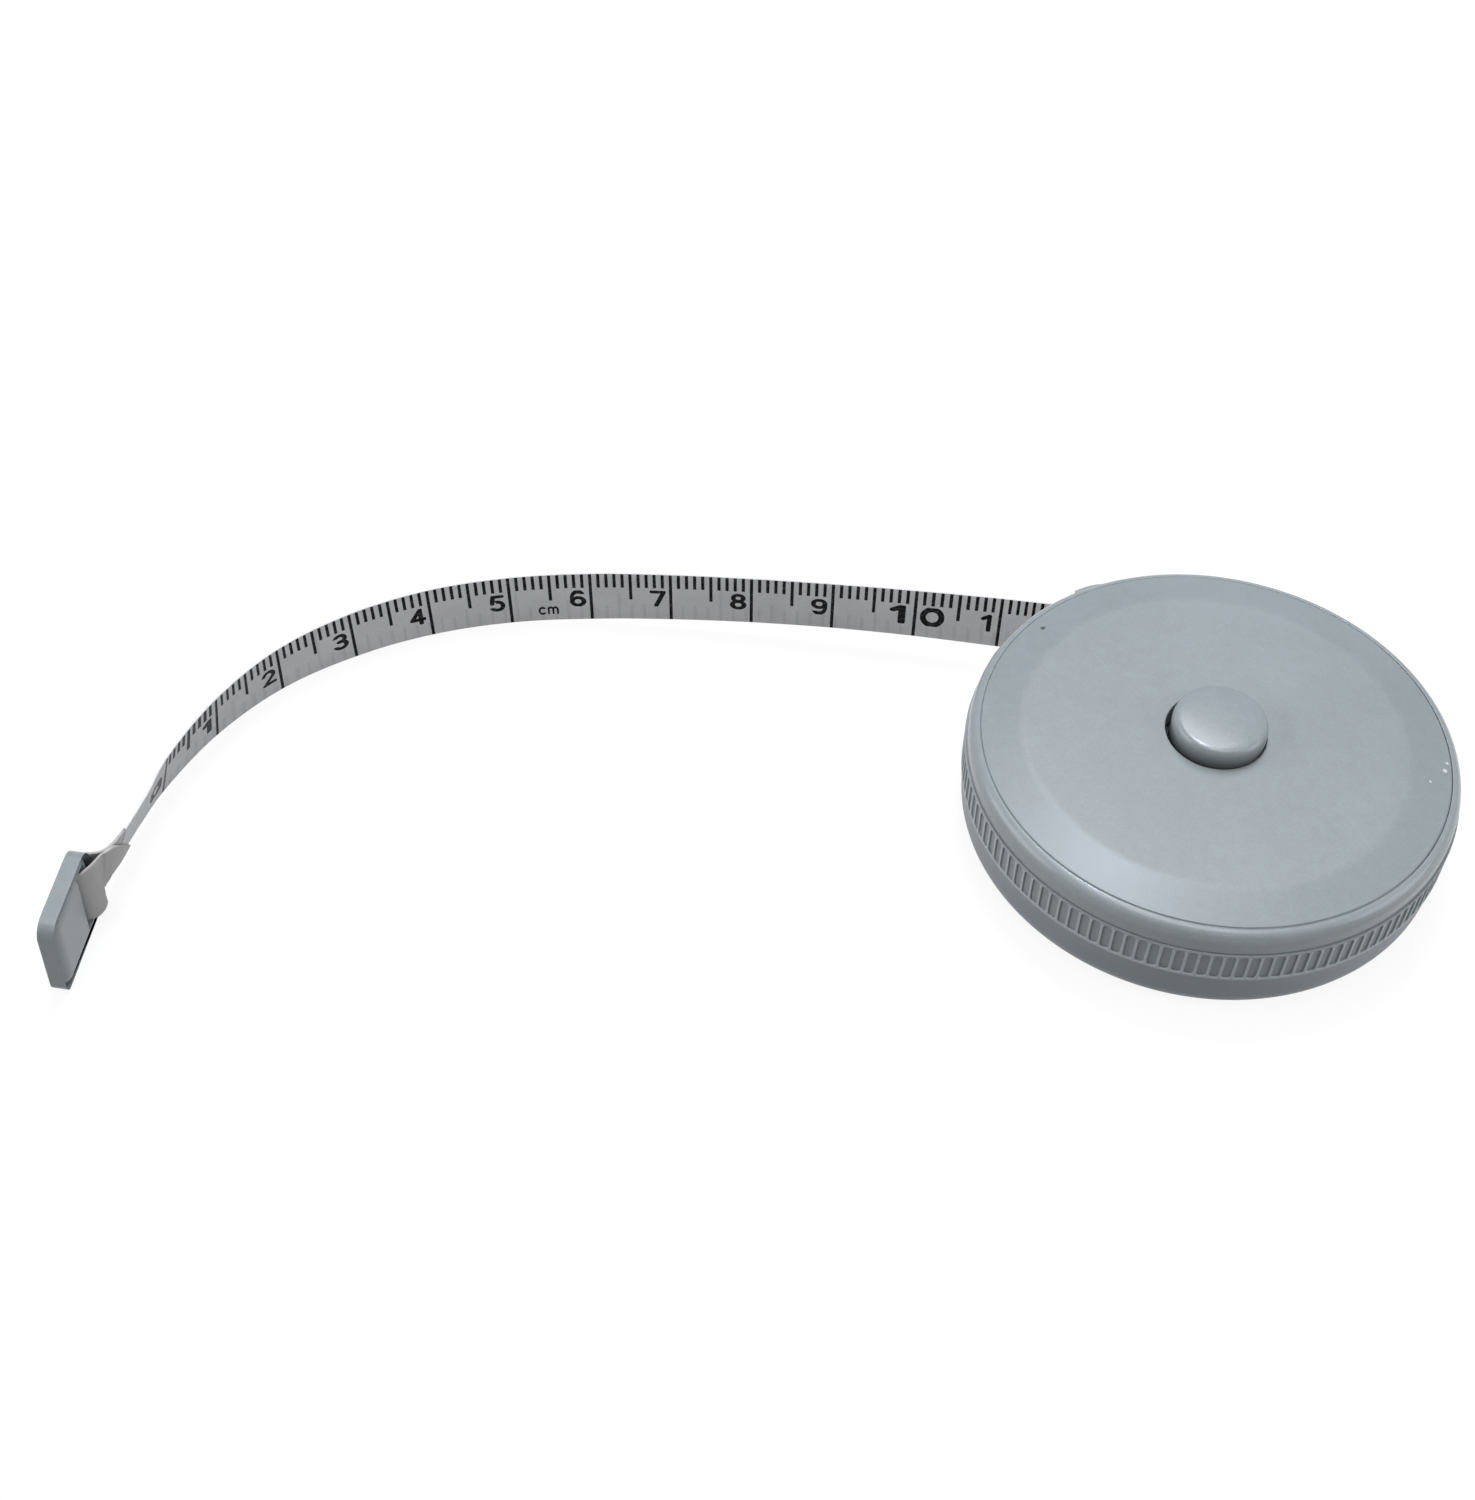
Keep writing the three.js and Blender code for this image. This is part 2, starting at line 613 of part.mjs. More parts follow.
function endTab() {
  const rear = -TAB_BAR / 2 + TAB_EDGE;
  const front = TAB_LENGTH - TAB_BAR / 2 - TAB_EDGE;
  const half = tabHeight / 2 - TAB_EDGE;
  const corner = TAB_CORNER - TAB_EDGE;
  const shape = new THREE.Shape();
  shape.absarc(front - corner, half - corner, corner, 0, Math.PI / 2, false);
  shape.absarc(rear + corner, half - corner, corner, Math.PI / 2, Math.PI, false);
  shape.absarc(rear + corner, corner - half, corner, Math.PI, 1.5 * Math.PI, false);
  shape.absarc(front - corner, corner - half, corner, 1.5 * Math.PI, 2 * Math.PI, false);
  const slotStart = TAB_BAR / 2;
  const slotHalf = slotHeight / 2;
  const slot = box(
    [slotStart, -slotHalf, -TAB_THICK],
    [slotStart + TAB_SLOT, slotHalf, TAB_THICK],
  );
  const depth = TAB_THICK - 2 * TAB_EDGE;
  const plate = new THREE.ExtrudeGeometry(shape, {
    depth,
    bevelSize: TAB_EDGE,
    bevelThickness: TAB_EDGE,
    bevelSegments: EDGE_STEPS,
    curveSegments: CORNER_STEPS,
  });
  const made = combined(plate.translate(0, 0, -depth / 2), [], [slot]);
  made.rotateX(Math.PI / 2);
  made.rotateZ(-Math.PI / 2);
  const lean = THREE.MathUtils.degToRad(TAB_LEAN);
  made.rotateY(lean);
  made.rotateZ(THREE.MathUtils.degToRad(TAB_YAW));
  const height = (tabHeight / 2) * Math.cos(lean) + (TAB_THICK / 2) * Math.sin(lean);
  return made.translate(tabPlace[0], tabPlace[1], height);
}

// Assembly

const SHELL = { color: 0x9ca6ab, roughness: 0.45, metalness: 0 };
const INNER_PLASTIC = { color: 0xd8d8d4, roughness: 0.6, metalness: 0 };
const STEEL = { color: 0x8f9296, roughness: 0.35, metalness: 0.9 };
const RUBBER = { color: 0x2c2c2e, roughness: 0.85, metalness: 0 };
const TAPE_CLOTH = { color: 0xc4c5c4, roughness: 0.55, metalness: 0 };

const assembly = new THREE.Group();

function add(name, geometry, finish) {
  const mesh = new THREE.Mesh(geometry, new THREE.MeshStandardMaterial(finish));
  mesh.name = name;
  assembly.add(mesh);
}

add("back_shell", backShell(), SHELL);
add("front_shell", frontShell(), SHELL);
add("face_plate", facePlate(), SHELL);
add("arbor", arbor(), INNER_PLASTIC);
add("reel_washer", ring(WASHER_INNER, WASHER_OUTER, washerTop - WASHER, washerTop, SMALL_SIDES), STEEL);
add("reel", reel(), INNER_PLASTIC);
add("reel_flange", reelFlange(), INNER_PLASTIC);
add("tape_anchor_pin", anchor(PIN_RADIUS, TAPE_WIDTH - 2 * CLEAR), STEEL);
add("mainspring", mainspring(), STEEL);
add("spring_cover", ring(reelBore, drumBore - CLEAR, coverBottom, coverTop, SMALL_SIDES), INNER_PLASTIC);
add("tape_wound", ring(woundInner, woundRadius, tapeBottom, tapeTop, CASE_SIDES), TAPE_CLOTH);

add("button", button(), SHELL);
const brakeBore = BUTTON_BORE + CLEAR;
add("brake_disc", ring(brakeBore, BRAKE_RADIUS, brakeBottom, brakeTop, SMALL_SIDES), INNER_PLASTIC);
add("brake_pad", ring(BRAKE_RADIUS - PAD_WIDTH, BRAKE_RADIUS, padTop - PAD, padTop, SMALL_SIDES), RUBBER);
add("button_spring", buttonSpring(), STEEL);

add("tape_run", tapeRun(), TAPE_CLOTH);
add("tape_tail", tapeTail(), TAPE_CLOTH);
add("tape_loop", tapeLoop(), TAPE_CLOTH);
add("end_tab", endTab(), SHELL);

export default assembly;
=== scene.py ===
"""Looks of a retractable sewing tape measure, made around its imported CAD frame.

Metres, in the CAD frame: the case lies on its base with its axis along +Z, and the tape leaves it along -X.
Sizes are written in millimetres and turned into metres by MM.
"""

import math

import bpy
from mathutils import Matrix, Vector
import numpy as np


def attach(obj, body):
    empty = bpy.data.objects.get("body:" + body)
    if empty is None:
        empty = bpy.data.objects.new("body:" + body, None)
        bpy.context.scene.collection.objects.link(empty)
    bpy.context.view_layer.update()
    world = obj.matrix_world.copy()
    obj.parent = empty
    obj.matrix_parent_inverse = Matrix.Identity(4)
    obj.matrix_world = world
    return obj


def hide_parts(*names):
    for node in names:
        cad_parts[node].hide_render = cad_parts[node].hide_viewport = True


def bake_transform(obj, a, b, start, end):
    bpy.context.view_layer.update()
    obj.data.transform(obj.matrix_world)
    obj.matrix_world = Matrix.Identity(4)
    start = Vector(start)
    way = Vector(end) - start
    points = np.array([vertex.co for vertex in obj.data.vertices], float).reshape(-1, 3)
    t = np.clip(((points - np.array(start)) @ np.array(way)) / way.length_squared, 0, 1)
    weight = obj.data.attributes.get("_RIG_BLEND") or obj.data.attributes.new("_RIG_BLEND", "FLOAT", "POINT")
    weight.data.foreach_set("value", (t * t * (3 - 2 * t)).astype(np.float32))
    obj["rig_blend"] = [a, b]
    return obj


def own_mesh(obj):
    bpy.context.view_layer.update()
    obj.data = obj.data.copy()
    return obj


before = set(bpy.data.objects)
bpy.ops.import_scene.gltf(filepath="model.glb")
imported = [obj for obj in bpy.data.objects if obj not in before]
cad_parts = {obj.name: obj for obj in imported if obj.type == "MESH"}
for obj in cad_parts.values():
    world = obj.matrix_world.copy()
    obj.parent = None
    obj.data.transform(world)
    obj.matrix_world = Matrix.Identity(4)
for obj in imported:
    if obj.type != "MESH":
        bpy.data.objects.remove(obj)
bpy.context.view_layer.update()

MM = 0.001

# Tape
TAPE_WIDTH = 7.4
TAPE_THICK = 0.34
TAPE_LINE = 20.645  # y of the tape where it leaves the reel
TAPE_MIDDLE = 6.1
MOUTH_X = -17.4
TAPE_START_X = 2.0  # inner end of the free tape, behind the wound turns
BLEND_END_X = -34.6
READING_AT_MOUTH = 11.7
TAPE_STEP = 0.8

# Distance out of the mouth, distance aside, height of the lower edge and lean; one for each centimetre mark
MARKED = [
    (7.0, -0.03, 2.3, -7),
    (17.2, -0.03, 2.17, -3),
    (27.25, 0.07, 1.87, -1),
    (37.2, 0.35, 1.43, -1),
    (47.15, 0.9, 0.93, -2.5),
    (57.0, 1.9, 0.45, -4),
    (66.8, 3.95, 0.15, -3),
    (76.0, 7.55, 0.05, -2),
    (84.25, 12.9, 0.05, 1),
    (91.2, 19.85, 0.1, 6.5),
    (96.0, 28.5, 0.2, 13),
    (98.7, 38.25, 0.45, 18.5),
]
UNMARKED = [(98.95, 43.9, 1.0, 23), (99.1, 49.65, 1.75, 23)]
FIRST_MARK = 11  # reading at the first place of MARKED

# Folded end, from the free tape round the tab's bar and back: x, y, middle height and lean towards +X
FOLD = [
    (-116.53, -29.08, 5.46, 23),
    (-116.78, -30.8, 5.55, 22),
    (-117.15, -32.2, 5.62, 17),
    (-118.2, -33.05, 5.7, 10),
    (-119.25, -33.42, 5.75, 7),
    (-119.75, -34.5, 5.78, 6.5),
    (-119.75, -35.6, 5.8, 6),
    (-119.2, -36.5, 5.82, 4),
    (-118.2, -36.75, 5.85, 0),
    (-117.15, -36.25, 5.85, -2),
    (-116.65, -35.2, 5.85, 0),
    (-116.55, -34.2, 5.8, 4),
    (-116.85, -32.7, 5.7, 17),
    (-116.42, -31.0, 5.6, 22),
    (-116.14, -28.6, 5.25, 23),
    (-116.08, -26.0, 4.9, 24),
]
FOLD_SLANT = 5.4  # length over which the folded end is cut on a slant
FOLD_STEP = 0.35

# Turns on the drum
WOUND_INNER, WOUND_OUTER = 16.0, 19.98
WOUND_TURNS = 11
WOUND_STEPS = 60  # steps of one turn
WOUND_THICK = 0.3  # thinner than the free tape, so that the turns stay apart

# Case
CASE_RADIUS = 27.0
BAND_RADIUS = 26.7
KNURL_COUNT = 132
KNURL_BOTTOM = 5.9
KNURL_TOP = 9.52
SEAM_HEIGHT = 9.7
FACE_TOP = 13.4
HOLE_ASIDE = (0.1, 0.48)  # the button's hole, off the case's axis
EDGE_ASIDE = (-0.03, 0.045)  # the disc in its seat, so that the seam closes at the far left
BUTTON_PLAY = (0.28, 0.28, 0)  # the button stands a little aside in its hole
AROUND = 264  # steps of a turned piece
PAD_START, PAD_END = 117.0, 126.5  # degrees round the case of the pad by the mouth
PAD_INNER, PAD_OUTER = 26.2, 27.15
PAD_RISE = 6  # degrees over which the pad rises out of the wall
PAD_SINK = 0.022  # share of its radius by which it starts lower
KNURL_SHARE = 0.68  # share of the pitch that a cell takes
KNURL_DEPTH = 0.19
KNURL_FOOT = 0.3  # rounding of a cell's lower corners

# Pull tab
TAB_PLACE = (-118.36, -34.43)  # middle of the bar that the tape goes round
TAB_LENGTH = 11.4
TAB_HEIGHT = 11.3
TAB_THICK = 1.9
TAB_BAR = 1.6
TAB_FOOT = 0.6  # what is cut off below, to leave the foot sharp
TAB_CORNER = 2.0
TAB_EDGE = 0.75
SLOT_DEPTH = 2.3
SLOT_HALF = 4.5
SLOT_EDGE = 0.16
TAB_LEAN = 6.2
TAB_YAW = 4


# Modelling


def pick(piece):
    """Makes a piece the active one and the only one selected."""
    bpy.ops.object.select_all(action="DESELECT")
    piece.select_set(True)
    bpy.context.view_layer.objects.active = piece


def start_edit(piece):
    """Puts one piece in edit mode with nothing selected in it."""
    pick(piece)
    bpy.ops.object.mode_set(mode="EDIT")
    bpy.ops.mesh.select_all(action="DESELECT")


def end_edit():
    bpy.ops.object.mode_set(mode="OBJECT")
    return bpy.context.object


def named(name):
    piece = bpy.context.object
    piece.name = name
    piece.data.name = name
    return piece


def apply_modifier(piece, kind, **settings):
    pick(piece)
    modifier = piece.modifiers.new(kind.lower(), kind)
    for key, value in settings.items():
        setattr(modifier, key, value)
    bpy.ops.object.modifier_apply(modifier=modifier.name)
    return piece


def soften(piece, width, segments=3, angle=30):
    return apply_modifier(
        piece,
        "BEVEL",
        width=width * MM,
        segments=segments,
        limit_method="ANGLE",
        angle_limit=math.radians(angle),
        harden_normals=False,
    )


def cut(piece, cutter, operation="DIFFERENCE"):
    apply_modifier(piece, "BOOLEAN", object=cutter, operation=operation, solver="EXACT")
    bpy.data.objects.remove(cutter, do_unlink=True)
    return piece


def shade(piece, angle=32):
    pick(piece)
    bpy.ops.object.shade_smooth_by_angle(angle=math.radians(angle))
    return apply_modifier(piece, "WEIGHTED_NORMAL", keep_sharp=True, weight=80)


def clean(piece):
    start_edit(piece)
    bpy.ops.mesh.select_all(action="SELECT")
    bpy.ops.mesh.remove_doubles(threshold=1e-7)
    bpy.ops.mesh.normals_make_consistent(inside=False)
    return end_edit()


def arc(x, z, radius_x, radius_z, start, end, steps):
    """Points of (radius, height) on a part of an ellipse, angles in degrees."""
    turns = [math.radians(start + (end - start) * i / steps) for i in range(steps + 1)]
    return [(x + radius_x * math.cos(t), z + radius_z * math.sin(t)) for t in turns]


def point(place):
    """One vertex at a place in millimetres, in edit mode."""
    bpy.ops.object.select_all(action="DESELECT")
    bpy.ops.mesh.primitive_plane_add(size=MM, location=(0, 0, 0))
    bpy.ops.object.mode_set(mode="EDIT")
    bpy.ops.mesh.select_all(action="SELECT")
    bpy.ops.mesh.merge(type="CENTER")
    bpy.ops.transform.translate(value=Vector(place) * MM)


def draw(places):
    """A chain of edges through places in millimetres, in edit mode and all selected."""
    point(places[0])
    for old, new in zip(places, places[1:]):
        step = (Vector(new) - Vector(old)) * MM
        bpy.ops.mesh.extrude_region_move(TRANSFORM_OT_translate={"value": step})
    bpy.ops.mesh.select_all(action="SELECT")


def turned(name, profile, steps=AROUND, degrees=360.0):
    """A profile of (radius, height) pairs, spun about the case's axis."""
    draw([(radius, 0, height) for radius, height in profile])
    bpy.ops.mesh.spin(steps=steps, angle=math.radians(degrees), center=(0, 0, 0), axis=(0, 0, 1))
    bpy.ops.mesh.select_all(action="SELECT")
    bpy.ops.mesh.remove_doubles(threshold=1e-7)
    bpy.ops.mesh.normals_make_consistent(inside=False)
    end_edit()
    return named(name)


def ringed(name, profile, steps=AROUND):
    """As turned, for a profile that closes on itself away from the axis."""
    return turned(name, [*profile, profile[0]], steps)


def block(low, high):
    """A box between two corners in millimetres."""
    bpy.ops.object.select_all(action="DESELECT")
    middle = [(a + b) / 2 * MM for a, b in zip(low, high)]
    size = [(b - a) * MM for a, b in zip(low, high)]
    bpy.ops.mesh.primitive_cube_add(size=1, location=middle, scale=size)
    bpy.ops.object.transform_apply(location=True, rotation=True, scale=True)
    return bpy.context.object


# Routes of tape


def smooth_route(places, parts=24):
    """Points on one smooth curve through the places, with the share of the way between two of them."""
    points = [Vector(p) for p in places]
    points = [2 * points[0] - points[1], *points, 2 * points[-1] - points[-2]]
    made = []
    for i in range(1, len(points) - 2):
        p0, p1, p2, p3 = points[i - 1 : i + 3]
        d0, d1, d2 = (math.sqrt((b - a).length) for a, b in ((p0, p1), (p1, p2), (p2, p3)))
        m1 = ((p1 - p0) / d0 - (p2 - p0) / (d0 + d1) + (p2 - p1) / d1) * d1
        m2 = ((p2 - p1) / d1 - (p3 - p1) / (d1 + d2) + (p3 - p2) / d2) * d1
        for k in range(parts):
            t = k / parts
            at = p1 + m1 * t + (3 * (p2 - p1) - 2 * m1 - m2) * t**2 + (2 * (p1 - p2) + m1 + m2) * t**3
            made.append((at, i - 1 + t))
    made.append((points[-2], len(points) - 3.0))
    return made


def evenly(route, step):
    """The route again with points one step apart, each with its share of the way."""
    lengths = [0.0]
    for (a, _), (b, _) in zip(route, route[1:]):
        lengths.append(lengths[-1] + (b - a).length)
    count = math.ceil(lengths[-1] / step)
    made = []
    at = 0
    for i in range(count + 1):
        goal = lengths[-1] * i / count
        while at < len(route) - 2 and lengths[at + 1] < goal:
            at += 1
        share = (goal - lengths[at]) / (lengths[at + 1] - lengths[at])
        (a, ta), (b, tb) = route[at], route[at + 1]
        made.append((a.lerp(b, share), ta + (tb - ta) * share))
    return made


def between(values, place):
    """A value in a list at a place that may lie between two of its entries."""
    i = min(int(place), len(values) - 2)
    return values[i] + (values[i + 1] - values[i]) * (place - i)


def stations(points, leans, inside=None):
    """At each point of a strip: the point, the way up its width and the way out of its printed side.

    A lean tips the top out of the printed side, or towards the inside if that is given.
    """
    made = []
    for i, (at, lean) in enumerate(zip(points, leans)):
        before, after = points[max(i - 1, 0)], points[min(i + 1, len(points) - 1)]
        flat = Vector((before.y - after.y, after.x - before.x, 0)).normalized()
        turn = math.radians(lean) * (flat.dot(inside) if inside else 1)
        up = Vector((0, 0, math.cos(turn))) + flat * math.sin(turn)
        out = flat * math.cos(turn) - Vector((0, 0, math.sin(turn)))
        made.append((at, up, out))
    return made


TAPE_EDGE = 0.08  # rounding of the tape's edges
BAKE_ROWS = 8  # rows of the tape's map
BAKE_TALL, BAKE_THIN = 0.42, 0.005  # share of a row for a side of the tape and for its edge
SLANT_SHARE = 0.97  # share of the width that a slant takes off


def strip(name, places, width, thick, readings=None, edge=TAPE_EDGE, slant=0):
    """A flat tape through stations. Its maps give the place across it, its side and a flat layout.

    A slant is the length by which the upper edge ends before the lower one.
    """
    half, deep = width / 2, thick / 2
    section = [
        (deep, edge - half),
        (deep, half - edge),
        (deep - edge, half),
        (edge - deep, half),
        (-deep, half - edge),
        (-deep, edge - half),
        (edge - deep, -half),
        (deep - edge, -half),
    ]
    sides = [0, 0.5, 0.5, 0.5, 1, 0.5, 0.5, 0.5]
    count = len(section)
    spots, faces = [], []
    step = (places[1][0] - places[0][0]).length
    for i, (at, up, out) in enumerate(places):
        left = (len(places) - 1 - i) * step
        drop = width * SLANT_SHARE * max(1 - left / slant, 0) if slant else 0
        spots += [(at + out * a + up * (b - drop * (b > 0))) * MM for a, b in section]
        if i:
            old, now = count * (i - 1), count * i
            for k in range(count):
                turn = (k + 1) % count
                faces.append((old + k, now + k, now + turn, old + turn))
    last = count * (len(places) - 1)
    faces.append(tuple(range(count)))
    faces.append(tuple(last + k for k in reversed(range(count))))
    mesh = bpy.data.meshes.new(name)
    mesh.from_pydata(spots, [], faces)
    across = mesh.uv_layers.new(name="across")
    layout = mesh.uv_layers.new(name="OFBake")
    for face in mesh.polygons:
        k = face.index % count
        is_end = face.index >= count * (len(places) - 1)
        side = 0.5 if is_end else sides[k]
        station = face.index // count
        row = station * BAKE_ROWS // len(places)
        for loop in face.loop_indices:
            corner = mesh.loops[loop].vertex_index
            height = section[corner % count][1] / width + 0.5
            across.data[loop].uv = (height, side)
            along = (corner // count * BAKE_ROWS / len(places) - row) * 0.96 + 0.02
            strip_place = {0: 0.04, 1: 0.54}.get(side, 0.03 if k < 4 else 0.53)
            tall = BAKE_TALL if side in (0, 1) else BAKE_THIN
            layout.data[loop].uv = (min(along, 1), (row + strip_place + tall * height) / BAKE_ROWS)
    if readings:
        marks = mesh.attributes.new("reading", "FLOAT", "POINT")
        rest = mesh.attributes.new("rest_x", "FLOAT", "POINT")
        for i, spot in enumerate(spots):
            marks.data[i].value = readings[i // count]
            rest.data[i].value = spot.x
    piece = bpy.data.objects.new(name, mesh)
    bpy.context.scene.collection.objects.link(piece)
    return shade(clean(piece), 40)


# Finishes


class Number:
    """A number that varies over a surface. Arithmetic on it adds nodes to its finish."""

    def __init__(self, finish, socket):
        self.finish = finish
        self.socket = socket

    def maths(self, operation, *values):
        return self.finish.node("ShaderNodeMath", {"operation": operation}, dict(enumerate(values)))

    def __add__(self, other):
        return self.maths("ADD", self, other)

    __radd__ = __add__

    def __sub__(self, other):
        return self.maths("SUBTRACT", self, other)

    def __rsub__(self, other):
        return self.maths("SUBTRACT", other, self)

    def __mul__(self, other):
        return self.maths("MULTIPLY", self, other)

    __rmul__ = __mul__

    def __truediv__(self, other):
        return self.maths("DIVIDE", self, other)

    def __mod__(self, other):
        return self.maths("FLOORED_MODULO", self, other)

    def __lt__(self, other):
        return self.maths("LESS_THAN", self, other)

    def __gt__(self, other):
        return self.maths("GREATER_THAN", self, other)

    def __abs__(self):
        return self.maths("ABSOLUTE", self)

    def __or__(self, other):
        return self.maths("MAXIMUM", self, other)

    def __and__(self, other):
        return self.maths("MINIMUM", self, other)

    def floor(self):
        return self.maths("FLOOR", self)

    def is_near(self, other, within=0.25):
        return self.maths("COMPARE", self, other, within)


class Finish:
    """A material made of nodes around one shader."""

    def __init__(self, name, **constants):
        self.material = bpy.data.materials.new(name)
        self.material.use_nodes = True
        self.tree = self.material.node_tree
        self.shader = self.tree.nodes["Principled BSDF"]
        for key, value in constants.items():
            self.shader.inputs[key.replace("_", " ")].default_value = value

    def put(self, socket, value):
        if isinstance(value, Number):
            self.tree.links.new(value.socket, socket)
        else:
            socket.default_value = value

    def node(self, kind, settings=None, sockets=None, out=0):
        node = self.tree.nodes.new(kind)
        for key, value in (settings or {}).items():
            setattr(node, key, value)
        for key, value in (sockets or {}).items():
            self.put(node.inputs[key], value)
        return Number(self, node.outputs[out])

    def feed(self, name, value):
        self.put(self.shader.inputs[name], value)

    def place(self):
        return self.node("ShaderNodeTexCoord", out="Object")

    def apart(self, vector):
        """The three numbers of a vector."""
        node = self.tree.nodes.new("ShaderNodeSeparateXYZ")
        self.put(node.inputs[0], vector)
        return [Number(self, socket) for socket in node.outputs]

    def attribute(self, name):
        return self.node("ShaderNodeAttribute", {"attribute_name": name}, out="Fac")

    def noise(self, scale, detail=2.0, rough=0.5, vector=None):
        sockets = {"Vector": vector or self.place(), "Scale": scale, "Detail": detail, "Roughness": rough}
        return self.node("ShaderNodeTexNoise", None, sockets, "Fac")

    def mix(self, share, first, second):
        return self.node("ShaderNodeMix", {"data_type": "RGBA"}, {0: share, 6: first, 7: second}, 2)

    def ramp(self, value, low, high):
        """From 0 at low to 1 at high, smoothly."""
        settings = {"interpolation_type": "SMOOTHSTEP"}
        return self.node("ShaderNodeMapRange", settings, {0: value, 1: low, 2: high})

    def bump(self, height, distance, strength=1.0):
        sockets = {"Height": height, "Distance": distance, "Strength": strength}
        self.feed("Normal", self.node("ShaderNodeBump", None, sockets, "Normal"))


def tone(colour, factor):
    return (*(part * factor for part in colour[:3]), 1.0)


def moulded(name, colour, rough, grain=1.0, extra=None, shine=0.5):
    """Moulded plastic: faint flow mottling, fine grain and uneven gloss. extra adds marks and painted shade
    to the colour.
    """
    made = Finish(name, IOR=1.5, Specular_IOR_Level=shine)
    flow = made.noise(55, 3, 0.55)
    cloud = made.noise(700, 2, 0.6)
    fine = made.noise(5200, 2, 0.5)
    share = flow * 0.4 + cloud * 0.2 + fine * 0.4
    base = made.mix(made.ramp(share, 0.3, 0.7), tone(colour, 0.92), tone(colour, 1.08))
    if extra:
        base = extra(made, base)
    made.feed("Base Color", base)
    made.feed("Roughness", rough + (flow - 0.5) * 0.09 + (cloud - 0.5) * 0.08)
    made.bump(cloud * 0.35 + fine * 0.65, 0.00002 * grain, 0.5)
    return made.material


def speck(made, base, at, size, colour, strength=1.0):
    """A small mark at a place in millimetres."""
    sockets = {0: made.place(), 1: Vector(at) * MM}
    away = made.node("ShaderNodeVectorMath", {"operation": "DISTANCE"}, sockets, "Value")
    ragged = away + (made.noise(3000, 2) - 0.5) * (0.5 * size * MM)
    share = (1 - made.ramp(ragged, 0.35 * size * MM, 0.75 * size * MM)) * strength
    return made.mix(share, base, colour)


SHELL_COLOUR = (0.328, 0.366, 0.378)
DARK_MARK = (0.05, 0.055, 0.06, 1)
PALE_MARK = (0.78, 0.8, 0.82, 1)
DARK_SPECK = (-19.55, 13.6, 12.87)
PALE_SPECKS = [((24.63, -0.65, 12.71), 0.45), ((24.95, 0.51, 12.66), 0.32), ((22.86, -2.73, 13.01), 0.26)]


def rib_wear_and_painted_shade(made, base):
    """Paler tops on the grip's cells, partly handling wear and partly a painted highlight; painted shade on
    the cells' floors, and painted shade that makes the foot darker and bluer.
    """
    x, y, z = made.apart(made.place())
    away = made.node("ShaderNodeMath", {"operation": "SQRT"}, {0: x * x + y * y})
    in_grip = (z > (KNURL_BOTTOM - 0.4) * MM) & (z < (KNURL_TOP - 0.02) * MM)
    # Paler rib tops: partly handling wear, partly a painted highlight.
    top = made.ramp(away, 26.88 * MM, 26.98 * MM)
    # Darker cell floors: painted shade in the recesses.
    low = 1 - made.ramp(away, 26.82 * MM, 26.9 * MM)
    base = made.mix(top * in_grip * 0.85, base, tone(SHELL_COLOUR, 1.6))
    base = made.mix(low * in_grip * 0.7, base, tone(SHELL_COLOUR, 0.8))
    # Darker, bluer foot: painted shade on the lower band.
    painted_foot_shade = 1 - made.ramp(z, 3.5 * MM, 5.6 * MM)
    return made.mix(painted_foot_shade * 0.6, base, tone((0.318, 0.352, 0.39), 0.72))


def button_wall_painted_shade(made, base):
    """Painted shade on the button's wall, darker towards where it goes through the face."""
    _, _, z = made.apart(made.place())
    # Painted shade: the wall darkens towards the face.
    low = 1 - made.ramp(z, (FACE_TOP + 0.1) * MM, (FACE_TOP + 2.1) * MM)
    return made.mix(low * 0.9, base, tone(SHELL_COLOUR, 0.22))


def face_marks(made, base):
    base = speck(made, base, DARK_SPECK, 0.5, DARK_MARK, 0.85)
    for at, size in PALE_SPECKS:
        base = speck(made, base, at, size, PALE_MARK, 0.75)
    return base


class Pen:
    """Draws masks of strokes in a cell whose place is given by two numbers."""

    def __init__(self, made, x, y, half):
        self.made = made
        self.x = x
        self.y = y
        self.half = half
        self.spot = made.node("ShaderNodeCombineXYZ", None, {0: x, 1: y})

    def vector(self, operation, first, second, out=0):
        return self.made.node("ShaderNodeVectorMath", {"operation": operation}, {0: first, 1: second}, out)

    def line(self, ax, ay, bx, by):
        span = Vector((bx - ax, by - ay, 0))
        from_start = self.vector("SUBTRACT", self.spot, (ax, ay, 0))
        dot = self.vector("DOT_PRODUCT", from_start, span / span.length_squared, "Value")
        share = (dot | 0) & 1
        along = self.made.node("ShaderNodeVectorMath", {"operation": "SCALE"}, {0: span, "Scale": share})
        return self.vector("DISTANCE", from_start, along, "Value") < self.half

    def oval(self, cx, cy, rx, ry):
        from_middle = self.vector("SUBTRACT", self.spot, (cx, cy, 0))
        scaled = self.vector("DIVIDE", from_middle, (rx, ry, 1))
        away = self.made.node("ShaderNodeVectorMath", {"operation": "LENGTH"}, {0: scaled}, "Value")
        return abs(away - 1) * ((rx + ry) / 2) < self.half


